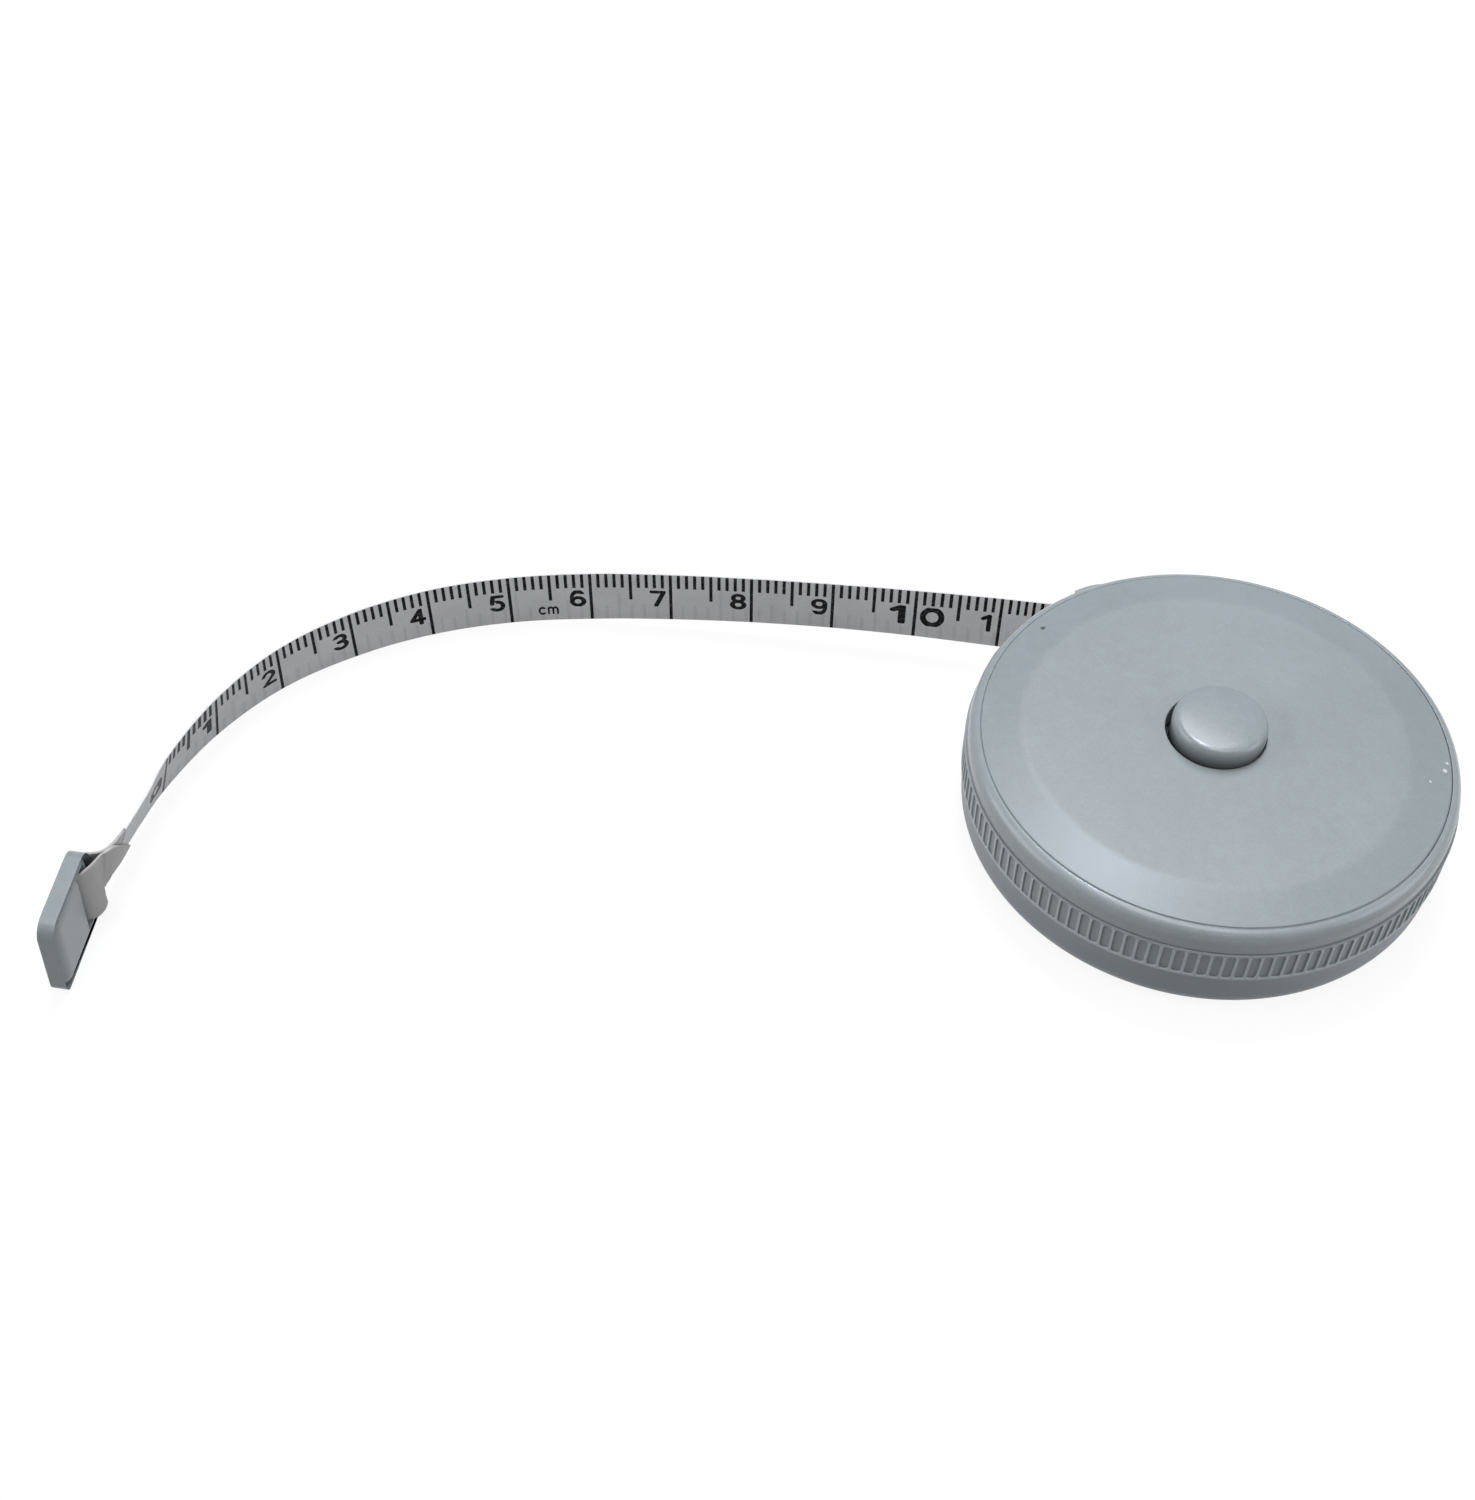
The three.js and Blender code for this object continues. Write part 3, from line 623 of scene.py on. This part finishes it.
def figure_masks(pen):
    """Masks of the figures 0 to 9, in a cell 0.7 wide and 1 tall."""
    x, y, line, oval = pen.x, pen.y, pen.line, pen.oval
    tall = oval(0.35, 0.5, 0.265, 0.415)
    return [
        tall,
        line(0.46, 0.08, 0.46, 0.92) | line(0.46, 0.92, 0.2, 0.74),
        oval(0.34, 0.67, 0.245, 0.24) & ((y > 0.67) | ((x > 0.34) & (y > 0.52)))
        | line(0.545, 0.55, 0.11, 0.09)
        | line(0.1, 0.085, 0.61, 0.085),
        (oval(0.33, 0.71, 0.22, 0.205) & ((x > 0.33) | (y > 0.76)))
        | (oval(0.33, 0.305, 0.25, 0.22) & ((x > 0.33) | (y < 0.26)))
        | line(0.26, 0.51, 0.36, 0.51),
        line(0.48, 0.08, 0.48, 0.92) | line(0.48, 0.92, 0.09, 0.32) | line(0.09, 0.32, 0.62, 0.32),
        line(0.57, 0.915, 0.19, 0.915)
        | line(0.19, 0.915, 0.14, 0.5)
        | (oval(0.34, 0.335, 0.25, 0.25) & ((x > 0.3) | (y < 0.24) | (y > 0.56))),
        oval(0.35, 0.315, 0.245, 0.23) | (tall & ((x < 0.3) | (y > 0.76)) & (y > 0.3)),
        line(0.1, 0.915, 0.61, 0.915) | line(0.61, 0.915, 0.28, 0.08),
        oval(0.35, 0.72, 0.21, 0.195) | oval(0.35, 0.295, 0.245, 0.21),
        oval(0.35, 0.685, 0.245, 0.23) | (tall & ((x > 0.4) | (y < 0.24)) & (y < 0.7)),
    ]


def unit_mask(pen):
    """Mask of the letters c and m, side by side and about 1.6 wide."""
    x, y, line, oval = pen.x, pen.y, pen.line, pen.oval
    c = oval(0.3, 0.3, 0.23, 0.24) & ((x < 0.4) | (y > 0.44) | (y < 0.16))
    arches = (oval(0.93, 0.36, 0.17, 0.18) | oval(1.27, 0.36, 0.17, 0.18)) & (y > 0.36)
    legs = line(0.76, 0.08, 0.76, 0.5) | line(1.1, 0.08, 1.1, 0.36) | line(1.44, 0.08, 1.44, 0.36)
    return c | arches | legs


INK = (0.006, 0.006, 0.007, 1)
VINYL = (0.92, 0.92, 0.915)
INCH = 25.4
WEAVE_PITCH = 0.42
TICK_HALF = 0.2  # half of a tick's width
SHORT_TICK = 2.25
LONG_TICK = 9.0  # right across the tape
FIGURE_TALL, LARGE_TALLER = 2.62, 0.34  # every tenth number is larger by the second value
FIGURE_WIDE, LARGE_WIDER = 1.12, 0.25
FIGURE_CELL = 0.7  # width of a figure's cell of height 1
BEFORE_TICK = 0.6  # room between a figure and the long tick on its right
AFTER_TICK, LARGE_CLOSER = 2.7, 2.08  # room on the tick's other side


def tape_print():
    """Vinyl tape with a centimetre scale on its inner side and an inch scale on the other."""
    made = Finish("tape_vinyl_printed", IOR=1.48, Specular_IOR_Level=0.06)
    x, _, _ = made.apart(made.place())
    weight = made.attribute("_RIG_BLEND")
    drawn = (made.attribute("rest_x") - x) / weight
    reading = made.attribute("reading") + (1 - weight) * drawn * 100
    across = made.node("ShaderNodeUVMap", {"uv_map": "across"})
    height, side, _ = made.apart(across)
    is_front = side < 0.25
    is_back = side > 0.75
    printed = is_front | is_back

    def ticks(value, parts, pitch, from_edge, longer):
        """Lines at each part of a unit. longer gives the tick's length for the parts that it divides."""
        index = (value * parts + 0.5).floor()
        away = abs(value * parts - index) * pitch
        reach = SHORT_TICK
        for step, length in longer:
            fits = (index % step).is_near(0)
            reach = fits * length + (1 - fits) * reach
        bold = (value < 0.9) * 0.08 + (value < 0.05) * 0.08
        return (away < TICK_HALF + bold) & (from_edge < reach) & (value > -0.05 / parts)

    inches = reading / (INCH / 10)
    from_top = (1 - height) * TAPE_WIDTH
    from_bottom = height * TAPE_WIDTH
    metric = ticks(reading, 10, 1.0, from_top, ((5, 4.15), (10, LONG_TICK)))
    imperial = ticks(inches, 16, INCH / 16, from_bottom, ((2, 2.5), (4, 3.2), (8, 4.3), (16, LONG_TICK)))
    value = reading * is_front + inches * (1 - is_front)
    from_edge = from_top * is_front + from_bottom * (1 - is_front)
    unit = 10 * is_front + INCH * (1 - is_front)

    number = (value + 0.5).floor()
    aside = (value - number) * unit
    is_left = aside < 0
    is_long = number > 9.5
    is_large = (number % 10).is_near(0)
    size = FIGURE_TALL + is_large * LARGE_TALLER
    wide = FIGURE_WIDE + is_large * LARGE_WIDER
    left_start = -BEFORE_TICK - FIGURE_CELL * size * wide
    start = is_left * left_start + (1 - is_left) * (AFTER_TICK - LARGE_CLOSER * is_large)
    cell_x = (aside - start) / (size * wide)
    cell_y = (5.25 + is_large * 0.25 - from_edge) / size
    tens = (number / 10).floor()
    figure = (is_left & is_long) * tens + (1 - (is_left & is_long)) * (number - tens * 10)
    in_cell = (cell_x > 0) & (cell_x < FIGURE_CELL) & (cell_y > 0) & (cell_y < 1)
    inside = in_cell & (is_left | is_long) & (number > -0.5)
    numerals = None
    stroke = 0.098 + is_large * 0.014 + (reading < 1.5) * 0.04
    for k, mask in enumerate(figure_masks(Pen(made, cell_x, cell_y, stroke))):
        shown = mask & figure.is_near(k)
        numerals = shown if numerals is None else numerals | shown
    from_five = (reading - 5) * 10
    letters = unit_mask(Pen(made, (from_five - 3.4) / 1.65, (6.4 - from_top) / 2.1, 0.075))
    has_unit = is_front & (from_five > 3) & (from_five < 6.5)
    own = (metric & is_front) | (imperial & is_back) | (numerals & inside) | (letters & has_unit)
    worn = made.noise(2600, 3, 0.6)
    ink = own * printed * (0.93 + 0.07 * made.ramp(worn, 0.3, 0.55))
    through = (imperial & is_front) | (metric & is_back)

    thread = math.tau / WEAVE_PITCH
    weave_along = made.node("ShaderNodeMath", {"operation": "SINE"}, {0: reading * (10 * thread)})
    weave_across = made.node("ShaderNodeMath", {"operation": "SINE"}, {0: height * (TAPE_WIDTH * thread)})
    weave = weave_along * weave_across
    cloud = made.noise(260, 3, 0.55)
    fine = made.noise(4200, 2, 0.5)
    share = made.ramp(cloud * 0.6 + fine * 0.4, 0.32, 0.68)
    vinyl = made.mix(share, tone(VINYL, 0.94), tone(VINYL, 1.05))
    vinyl = made.mix(through * 0.09, vinyl, INK)
    made.feed("Base Color", made.mix(ink, vinyl, INK))
    made.feed("Roughness", 0.46 + (cloud - 0.5) * 0.12 - ink * 0.08)
    made.bump(weave * 0.5 + fine * 0.4, 0.000012, 0.5)
    return made.material


def plain_vinyl(name, colour):
    made = Finish(name, IOR=1.48, Specular_IOR_Level=0.3)
    cloud = made.noise(320, 3, 0.55)
    fine = made.noise(4200, 2, 0.5)
    share = made.ramp(cloud * 0.6 + fine * 0.4, 0.32, 0.68)
    made.feed("Base Color", made.mix(share, tone(colour, 0.92), tone(colour, 1.06)))
    made.feed("Roughness", 0.48 + (cloud - 0.5) * 0.12)
    made.bump(fine, 0.000012, 0.5)
    return made.material


def steel(name, colour, rough, stretch):
    """Drawn or rolled steel, with fine lines along one way."""
    made = Finish(name, Metallic=1.0)
    lines = made.node("ShaderNodeMapping", None, {"Vector": made.place(), "Scale": stretch})
    streak = made.noise(1800, 3, 0.6, lines)
    stain = made.noise(160, 3, 0.5)
    made.feed("Base Color", made.mix(stain, tone(colour, 0.85), tone(colour, 1.08)))
    made.feed("Roughness", rough + (streak - 0.5) * 0.16)
    made.bump(streak, 0.000006, 0.4)
    return made.material


def rubber(name):
    made = Finish(name, IOR=1.5)
    fine = made.noise(3500, 3, 0.6)
    dust = made.noise(300, 3, 0.6)
    dusty = made.ramp(dust, 0.45, 0.75)
    made.feed("Base Color", made.mix(dusty, (0.022, 0.022, 0.024, 1), (0.06, 0.06, 0.06, 1)))
    made.feed("Roughness", 0.72 + (dust - 0.5) * 0.2)
    made.bump(fine, 0.00002, 0.6)
    return made.material


def wear(piece, material, body=None, replaces=()):
    """Dresses a new piece: its finish, its body and the nodes that it stands for."""
    piece.data.materials.clear()
    piece.data.materials.append(material)
    if body:
        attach(piece, body)
    if replaces:
        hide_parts(*replaces)
    return piece


# Camera, as the photograph's

camera_data = bpy.data.cameras.new("photo_camera")
camera_data.sensor_width = 36
camera_data.lens = 46.26
camera_data.clip_start = 0.005
camera = bpy.data.objects.new("photo_camera", camera_data)
camera.location = Vector((-28.53, -145.71, 171.71)) * MM
camera.rotation_euler = (math.radians(40.8), 0, math.radians(9.51))
bpy.context.scene.collection.objects.link(camera)
bpy.context.scene.camera = camera


# Tape


def placed(out, aside, lift, _):
    return (MOUTH_X - out, TAPE_LINE - aside, lift + TAPE_WIDTH / 2)


def free_tape():
    """The tape from inside the case to its folded end, with the reading at each station."""
    start = (TAPE_START_X, TAPE_LINE, TAPE_MIDDLE)
    mouth = (MOUTH_X, TAPE_LINE, TAPE_MIDDLE)
    spots = [start, mouth, *(placed(*p) for p in MARKED + UNMARKED)]
    leans = [0, -6, *(p[3] for p in MARKED + UNMARKED)]
    marks = [READING_AT_MOUTH + (TAPE_START_X - MOUTH_X) / 10, READING_AT_MOUTH]
    marks += [FIRST_MARK - i for i in range(len(MARKED))]
    for old, new in zip(spots[-3:], spots[-2:]):
        marks.append(marks[-1] - (Vector(new) - Vector(old)).length / 10)
    route = evenly(smooth_route(spots), TAPE_STEP)
    points = [at for at, _ in route]
    places = stations(points, [between(leans, share) for _, share in route])
    readings = [between(marks, share) for _, share in route]
    piece = strip("measuring_tape", places, TAPE_WIDTH, TAPE_THICK, readings)
    return piece, points


def tape_fold():
    """The folded end: the tape goes round the tab's bar and comes back to its own front."""
    route = evenly(smooth_route([spot[:3] for spot in FOLD], 12), FOLD_STEP)
    points = [at for at, _ in route]
    leans = [between([spot[3] for spot in FOLD], share) for _, share in route]
    places = stations(points, leans, Vector((1, 0, 0)))
    return strip("tape_fold", places, TAPE_WIDTH, TAPE_THICK, slant=FOLD_SLANT)


def wound_tape():
    """The turns of tape on the drum."""
    steps = WOUND_TURNS * WOUND_STEPS
    spots = []
    for i in range(steps + 1):
        turn = math.tau * WOUND_TURNS * i / steps
        radius = WOUND_INNER + (WOUND_OUTER - WOUND_INNER) * i / steps
        spots.append(Vector((radius * math.sin(turn), radius * math.cos(turn), TAPE_MIDDLE)))
    return strip("wound_tape", stations(spots, [0] * len(spots)), TAPE_WIDTH, WOUND_THICK)


tape, tape_points = free_tape()
fold = tape_fold()
wound = wound_tape()


# Pull tab


def pull_tab():
    """A flat plate with a slot, rounded but for the long edge that it stands on."""
    half, deep, bar = TAB_HEIGHT / 2, TAB_THICK / 2, TAB_BAR / 2
    piece = block((-deep, bar - TAB_LENGTH, -half - TAB_FOOT), (deep, bar, half))
    start_edit(piece)
    end_edit()
    mesh = piece.data
    for edge in mesh.edges:
        a, b = (mesh.vertices[i].co for i in edge.vertices)
        edge.select = abs(a.x - b.x) > 1 * MM
    bpy.ops.object.mode_set(mode="EDIT")
    bpy.ops.mesh.select_mode(type="EDGE")
    bpy.ops.mesh.bevel(offset=TAB_CORNER * MM, segments=10, affect="EDGES")
    bpy.ops.mesh.select_mode(type="VERT")
    end_edit()
    soften(piece, TAB_EDGE, 8, 40)
    cut(piece, block((-3, -bar - SLOT_DEPTH, -SLOT_HALF), (3, -bar, SLOT_HALF)))
    soften(piece, SLOT_EDGE, 3, 60)
    start_edit(piece)
    bpy.ops.mesh.select_all(action="SELECT")
    bpy.ops.mesh.bisect(plane_co=(0, 0, -half * MM), plane_no=(0, 0, 1), use_fill=True, clear_inner=True)
    end_edit()
    piece.name = piece.data.name = "pull_tab"
    lean = math.radians(TAB_LEAN)
    height = half * math.cos(lean) + deep * math.sin(lean)
    turn = Matrix.Rotation(math.radians(TAB_YAW), 4, "Z") @ Matrix.Rotation(lean, 4, "Y")
    piece.matrix_world = Matrix.Translation(Vector((*TAB_PLACE, height)) * MM) @ turn
    pick(piece)
    bpy.ops.object.transform_apply(location=True, rotation=True, scale=True)
    return shade(clean(piece), 35)


tab = pull_tab()


# Case


def mouth_cutter(bottom, top):
    return block((-CASE_RADIUS - 1, TAPE_LINE - 0.9, bottom), (-9.5, TAPE_LINE + 0.9, top))


def mouth_pad(bottom, top):
    """The low pad on the wall just behind the mouth, which rises out of the wall towards the mouth."""
    corners = [(PAD_INNER, bottom), (PAD_OUTER, bottom), (PAD_OUTER, top), (PAD_INNER, top)]
    profile = [*corners, corners[0]]
    piece = turned("mouth_pad", profile, 12, PAD_END - PAD_START)
    start_edit(piece)
    bpy.ops.mesh.select_all(action="SELECT")
    bpy.ops.mesh.fill_holes(sides=4)
    bpy.ops.mesh.normals_make_consistent(inside=False)
    end_edit()
    for vertex in piece.data.vertices:
        turn = PAD_END - PAD_START + math.degrees(math.atan2(vertex.co.y, vertex.co.x))
        if vertex.co.xy.length > 27 * MM:
            vertex.co.xy *= 1 - PAD_SINK * max(1 - turn / PAD_RISE, 0) ** 2
    piece.rotation_euler.z = math.radians(PAD_END)
    bpy.ops.object.transform_apply(location=True, rotation=True, scale=True)
    return soften(piece, 0.12, 2)


def knurl_cells():
    """Cutters for the grip's arched cells: one is shaped, and the rest are copies round the case."""
    pitch = math.tau / KNURL_COUNT
    wide = CASE_RADIUS * pitch * KNURL_SHARE
    tall = KNURL_TOP - KNURL_BOTTOM
    middle = (KNURL_TOP + KNURL_BOTTOM) / 2
    bpy.ops.object.select_all(action="DESELECT")
    bpy.ops.mesh.primitive_plane_add(size=1, location=(0, 0, 0), rotation=(0, math.pi / 2, 0))
    piece = named("knurl_cells")
    bpy.ops.transform.resize(value=(1, wide * MM, tall * MM))
    bpy.ops.object.transform_apply(location=True, rotation=True, scale=True)
    start_edit(piece)
    end_edit()
    for vertex in piece.data.vertices:
        vertex.select = vertex.co.z > 0
    bpy.ops.object.mode_set(mode="EDIT")
    bpy.ops.mesh.bevel(offset=0.48 * wide * MM, segments=5, affect="VERTICES")
    bpy.ops.mesh.select_all(action="DESELECT")
    end_edit()
    low = min(vertex.co.z for vertex in piece.data.vertices)
    for vertex in piece.data.vertices:
        vertex.select = vertex.co.z < low + 0.01 * MM
    bpy.ops.object.mode_set(mode="EDIT")
    bpy.ops.mesh.bevel(offset=KNURL_FOOT * MM, segments=4, affect="VERTICES")
    bpy.ops.mesh.select_all(action="SELECT")
    bpy.ops.transform.translate(value=((CASE_RADIUS - KNURL_DEPTH) * MM, 0, middle * MM))
    for out, grow in ((0.05, 1.05), (0.09, 1.05), (0.06, 1.08), (0.3, 1.01)):
        bpy.ops.mesh.extrude_region_move(TRANSFORM_OT_translate={"value": (out * MM, 0, 0)})
        rise = 1 + (grow - 1) * wide / tall
        bpy.ops.transform.resize(value=(1, grow, rise), center_override=(CASE_RADIUS * MM, 0, middle * MM))
    bpy.ops.mesh.select_all(action="SELECT")
    bpy.ops.mesh.normals_make_consistent(inside=False)
    turn = math.tau - pitch
    bpy.ops.mesh.spin(steps=KNURL_COUNT - 1, angle=turn, dupli=True, center=(0, 0, 0), axis=(0, 0, 1))
    end_edit()
    return piece


def case_back():
    inner = 25.2
    profile = [
        (0, 0),
        *arc(25.0, 2.4, 1.7, 2.4, -90, 0, 10),
        (BAND_RADIUS, 5.42),
        (BAND_RADIUS + 0.08, 5.5),
        (CASE_RADIUS - 0.08, 5.5),
        (CASE_RADIUS, 5.58),
        (CASE_RADIUS, SEAM_HEIGHT - 0.06),
        (CASE_RADIUS - 0.06, SEAM_HEIGHT),
        (inner, SEAM_HEIGHT),
        (inner, 1.4),
        (7.9, 1.4),
        (7.9, 0.7),
        (4.7, 0.7),
        (4.7, 1.4),
        (2.5, 1.4),
        (2.5, 0.5),
        (0, 0.5),
    ]
    piece = turned("case_back", profile)
    cut(piece, knurl_cells())
    cut(piece, mouth_pad(6.5, SEAM_HEIGHT), "UNION")
    cut(piece, mouth_cutter(2.1, SEAM_HEIGHT + 1))
    return shade(clean(piece))


def case_front():
    rim, seat, skirt = 12.55, 25.5, 24.9
    profile = [
        (26.72, 9.79),
        (26.76, 9.84),
        (26.74, 10.4),
        *arc(25.5, 10.95, 1.2, 1.6, 0, 62, 14),
        (25.86, 12.485),
        (25.6, 12.53),
        *arc(seat + 0.08, rim - 0.08, 0.08, 0.08, 80, 180, 5),
        (seat, 11.4),
        (22.5, 11.4),
        (22.5, 10.7),
        (23.7, 10.7),
        (23.7, 8.2),
        (skirt, 8.2),
        (skirt, 9.79),
    ]
    piece = ringed("case_front", profile)
    cut(piece, mouth_pad(10.0, 11.55), "UNION")
    cut(piece, mouth_cutter(7.9, 10.1))
    return shade(clean(piece))


def face_disc():
    hole, edge = 5.5, 25.4
    profile = [
        (hole, 10.8),
        (7.0, 10.8),
        (7.0, 11.7),
        (edge + 0.08, 11.7),
        (edge + 0.08, 12.42),
        (edge + 0.02, 12.44),
        (edge, 12.46),
        (edge, 12.52),
        (edge - 0.04, 12.57),
        (edge - 0.12, 12.6),
        (21.6, FACE_TOP - 0.105),
        (21.35, FACE_TOP - 0.064),
        (21.1, FACE_TOP - 0.033),
        (20.85, FACE_TOP - 0.011),
        (20.55, FACE_TOP),
        (hole + 0.16, FACE_TOP),
        (hole + 0.05, FACE_TOP - 0.05),
        (hole, FACE_TOP - 0.16),
    ]
    piece = ringed("face_disc", profile)
    for vertex in piece.data.vertices:
        if vertex.co.xy.length < 7.5 * MM:
            vertex.co.xy += Vector(HOLE_ASIDE) * MM
        if vertex.co.xy.length > 25.2 * MM:
            vertex.co.xy += Vector(EDGE_ASIDE) * MM
    cut(piece, block((-7.3, -0.6, 10.5), (7.4, 1.4, 11.7)))
    return shade(clean(piece), 40)


def release_button():
    """A domed cap on a tube, with two lugs that keep it from turning."""
    crown = [(4.35, 15.72), (3.9, 15.78), (3.0, 15.83), (1.5, 15.87), (0, 15.88)]
    tube = [(0, 14.1), (3.4, 14.1), (3.4, 9.5), (5.2, 9.5)]
    profile = [*tube, *arc(4.55, 14.45, 0.65, 1.23, 0, 77, 12), *crown]
    piece = turned("release_button", profile, 96)
    for side in (1, -1):
        low, high = sorted((3.7 * side, 6.8 * side))
        lug = block((low, -0.5, 9.5), (high, 0.5, 11.4))
        soften(lug, 0.12, 2)
        cut(piece, lug, "UNION")
    piece.location = Vector(BUTTON_PLAY) * MM
    bpy.ops.object.transform_apply(location=True, rotation=True, scale=True)
    return shade(clean(piece), 34)


back = case_back()
front = case_front()
disc = face_disc()
button = release_button()


# Dressing

printed_vinyl = tape_print()
bare_vinyl = plain_vinyl("tape_vinyl_bare", (0.53, 0.525, 0.505))
back_plastic = moulded("case_plastic_back", SHELL_COLOUR, 0.42, 1.0, rib_wear_and_painted_shade)
wear(back, back_plastic, "case", ["back_shell"])
wear(front, moulded("case_plastic_front", SHELL_COLOUR, 0.2, 0.3), "case", ["front_shell"])
face_plastic = moulded("face_plastic", tone(SHELL_COLOUR, 0.92), 0.33, 1.0, face_marks, 0.42)
wear(disc, face_plastic, "case", ["face_plate"])
button_plastic = moulded("button_plastic", tone(SHELL_COLOUR, 0.95), 0.2, 1.2, button_wall_painted_shade)
wear(button, button_plastic, "button", ["button"])
wear(tab, moulded("tab_plastic", tone(SHELL_COLOUR, 0.93), 0.32, 0.8), "tab", ["end_tab"])
wear(fold, bare_vinyl, "tape", ["tape_loop"])
wear(wound, bare_vinyl, "reel", ["tape_wound"])
wear(tape, printed_vinyl, None, ["tape_run", "tape_tail"])
tape_start = Vector((0, TAPE_LINE, TAPE_MIDDLE)) * MM
tape_turn = Vector((BLEND_END_X, TAPE_LINE, TAPE_MIDDLE)) * MM
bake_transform(tape, "case", "tape", start=tape_start, end=tape_turn)

tape_path = [at * MM for at in tape_points]
tape_length = sum((b - a).length for a, b in zip(tape_path, tape_path[1:]))

white_plastic = moulded("inner_plastic", (0.72, 0.72, 0.7), 0.5)
spring_steel = steel("spring_steel", (0.42, 0.43, 0.45), 0.32, (1, 1, 14))
plain_steel = steel("washer_steel", (0.55, 0.55, 0.56), 0.36, (1, 6, 1))
black_rubber = rubber("pad_rubber")
INSIDE = {
    "arbor": white_plastic,
    "reel": white_plastic,
    "reel_flange": white_plastic,
    "spring_cover": white_plastic,
    "brake_disc": white_plastic,
    "reel_washer": plain_steel,
    "tape_anchor_pin": plain_steel,
    "mainspring": spring_steel,
    "brake_pad": black_rubber,
}
for node, material in INSIDE.items():
    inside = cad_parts[node]
    inside.data.materials.clear()
    inside.data.materials.append(material)

coil = bpy.data.objects.new("button_coil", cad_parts["button_spring"].data.copy())
bpy.context.scene.collection.objects.link(coil)
wear(shade(clean(coil), 40), spring_steel, "case", ["button_spring"])
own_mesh(coil)


# Floor, light and background


def floor_finish():
    """Pale to the camera and to reflections, and a plain grey to the light that it sends back."""
    made = Finish("pale_floor")
    tree = made.tree
    path = tree.nodes.new("ShaderNodeLightPath")
    seen = Number(made, path.outputs["Is Camera Ray"])
    for name in ("Is Glossy Ray", "Is Transmission Ray"):
        seen = seen | Number(made, path.outputs[name])
    made.shader.inputs["Base Color"].default_value = (0.16, 0.16, 0.16, 1)
    made.shader.inputs["Roughness"].default_value = 0.9
    made.shader.inputs["Specular IOR Level"].default_value = 0
    pale = tree.nodes.new("ShaderNodeEmission")
    pale.inputs["Strength"].default_value = 0.9
    faint = tree.nodes.new("ShaderNodeBsdfDiffuse")
    faint.inputs["Color"].default_value = (0.12, 0.12, 0.12, 1)
    lit = tree.nodes.new("ShaderNodeAddShader")
    tree.links.new(faint.outputs[0], lit.inputs[0])
    tree.links.new(pale.outputs[0], lit.inputs[1])
    mixed = tree.nodes.new("ShaderNodeMixShader")
    tree.links.new(seen.socket, mixed.inputs[0])
    tree.links.new(made.shader.outputs[0], mixed.inputs[1])
    tree.links.new(lit.outputs[0], mixed.inputs[2])
    tree.links.new(mixed.outputs[0], tree.nodes["Material Output"].inputs[0])
    return made.material


bpy.ops.object.select_all(action="DESELECT")
bpy.ops.mesh.primitive_plane_add(size=8, location=(0, 0, -0.0002))
floor = named("floor")
floor.data.materials.append(floor_finish())


def lamp(name, place, aim, size, watts, colour=(1, 1, 1)):
    data = bpy.data.lights.new(name, "AREA")
    data.shape = "DISK"
    data.size = size
    data.energy = watts
    data.color = colour
    made = bpy.data.objects.new(name, data)
    made.location = place
    made.rotation_euler = (Vector(aim) - Vector(place)).to_track_quat("-Z", "Y").to_euler()
    bpy.context.scene.collection.objects.link(made)


COOL = (0.97, 0.98, 1.04)
SKY = (0.86, 0.96, 1.25)
lamp("ceiling_panel", (-0.02, 0.285, 0.565), (-0.01, 0, 0), 0.32, 1.35)
lamp("ceiling_bulb", (-0.055, 0.2, 0.6), (-0.02, 0, 0), 0.06, 0.6, SKY)
lamp("top_light", (-0.05, -0.12, 1.4), (-0.03, 0, 0), 1.0, 7.2)
lamp("left_window", (-2.4, -0.36, 0.75), (-0.05, 0, 0), 1.9, 25, COOL)
lamp("right_window", (0.8, -0.12, 0.3), (-0.05, 0, 0), 0.6, 2.1, COOL)
lamp("front_fill", (0.0, -0.9, 0.5), (-0.05, 0, 0), 0.8, 0.06, COOL)

world = bpy.data.worlds.new("room")
world.use_nodes = True
bpy.context.scene.world = world
room = world.node_tree
surroundings = room.nodes["Background"]
surroundings.inputs["Color"].default_value = (1, 1, 1, 1)
room_path = room.nodes.new("ShaderNodeLightPath")
seen_parts = [room_path.outputs[name] for name in ("Is Camera Ray", "Is Transmission Ray")]
either = room.nodes.new("ShaderNodeMath")
either.operation = "MAXIMUM"
for slot_number, part in enumerate(seen_parts):
    room.links.new(part, either.inputs[slot_number])
strength = room.nodes.new("ShaderNodeMapRange")
strength.inputs["To Min"].default_value = 0.2
strength.inputs["To Max"].default_value = 1.0
room.links.new(either.outputs[0], strength.inputs["Value"])
room.links.new(strength.outputs[0], surroundings.inputs["Strength"])

bpy.context.scene.view_settings.view_transform = "Standard"
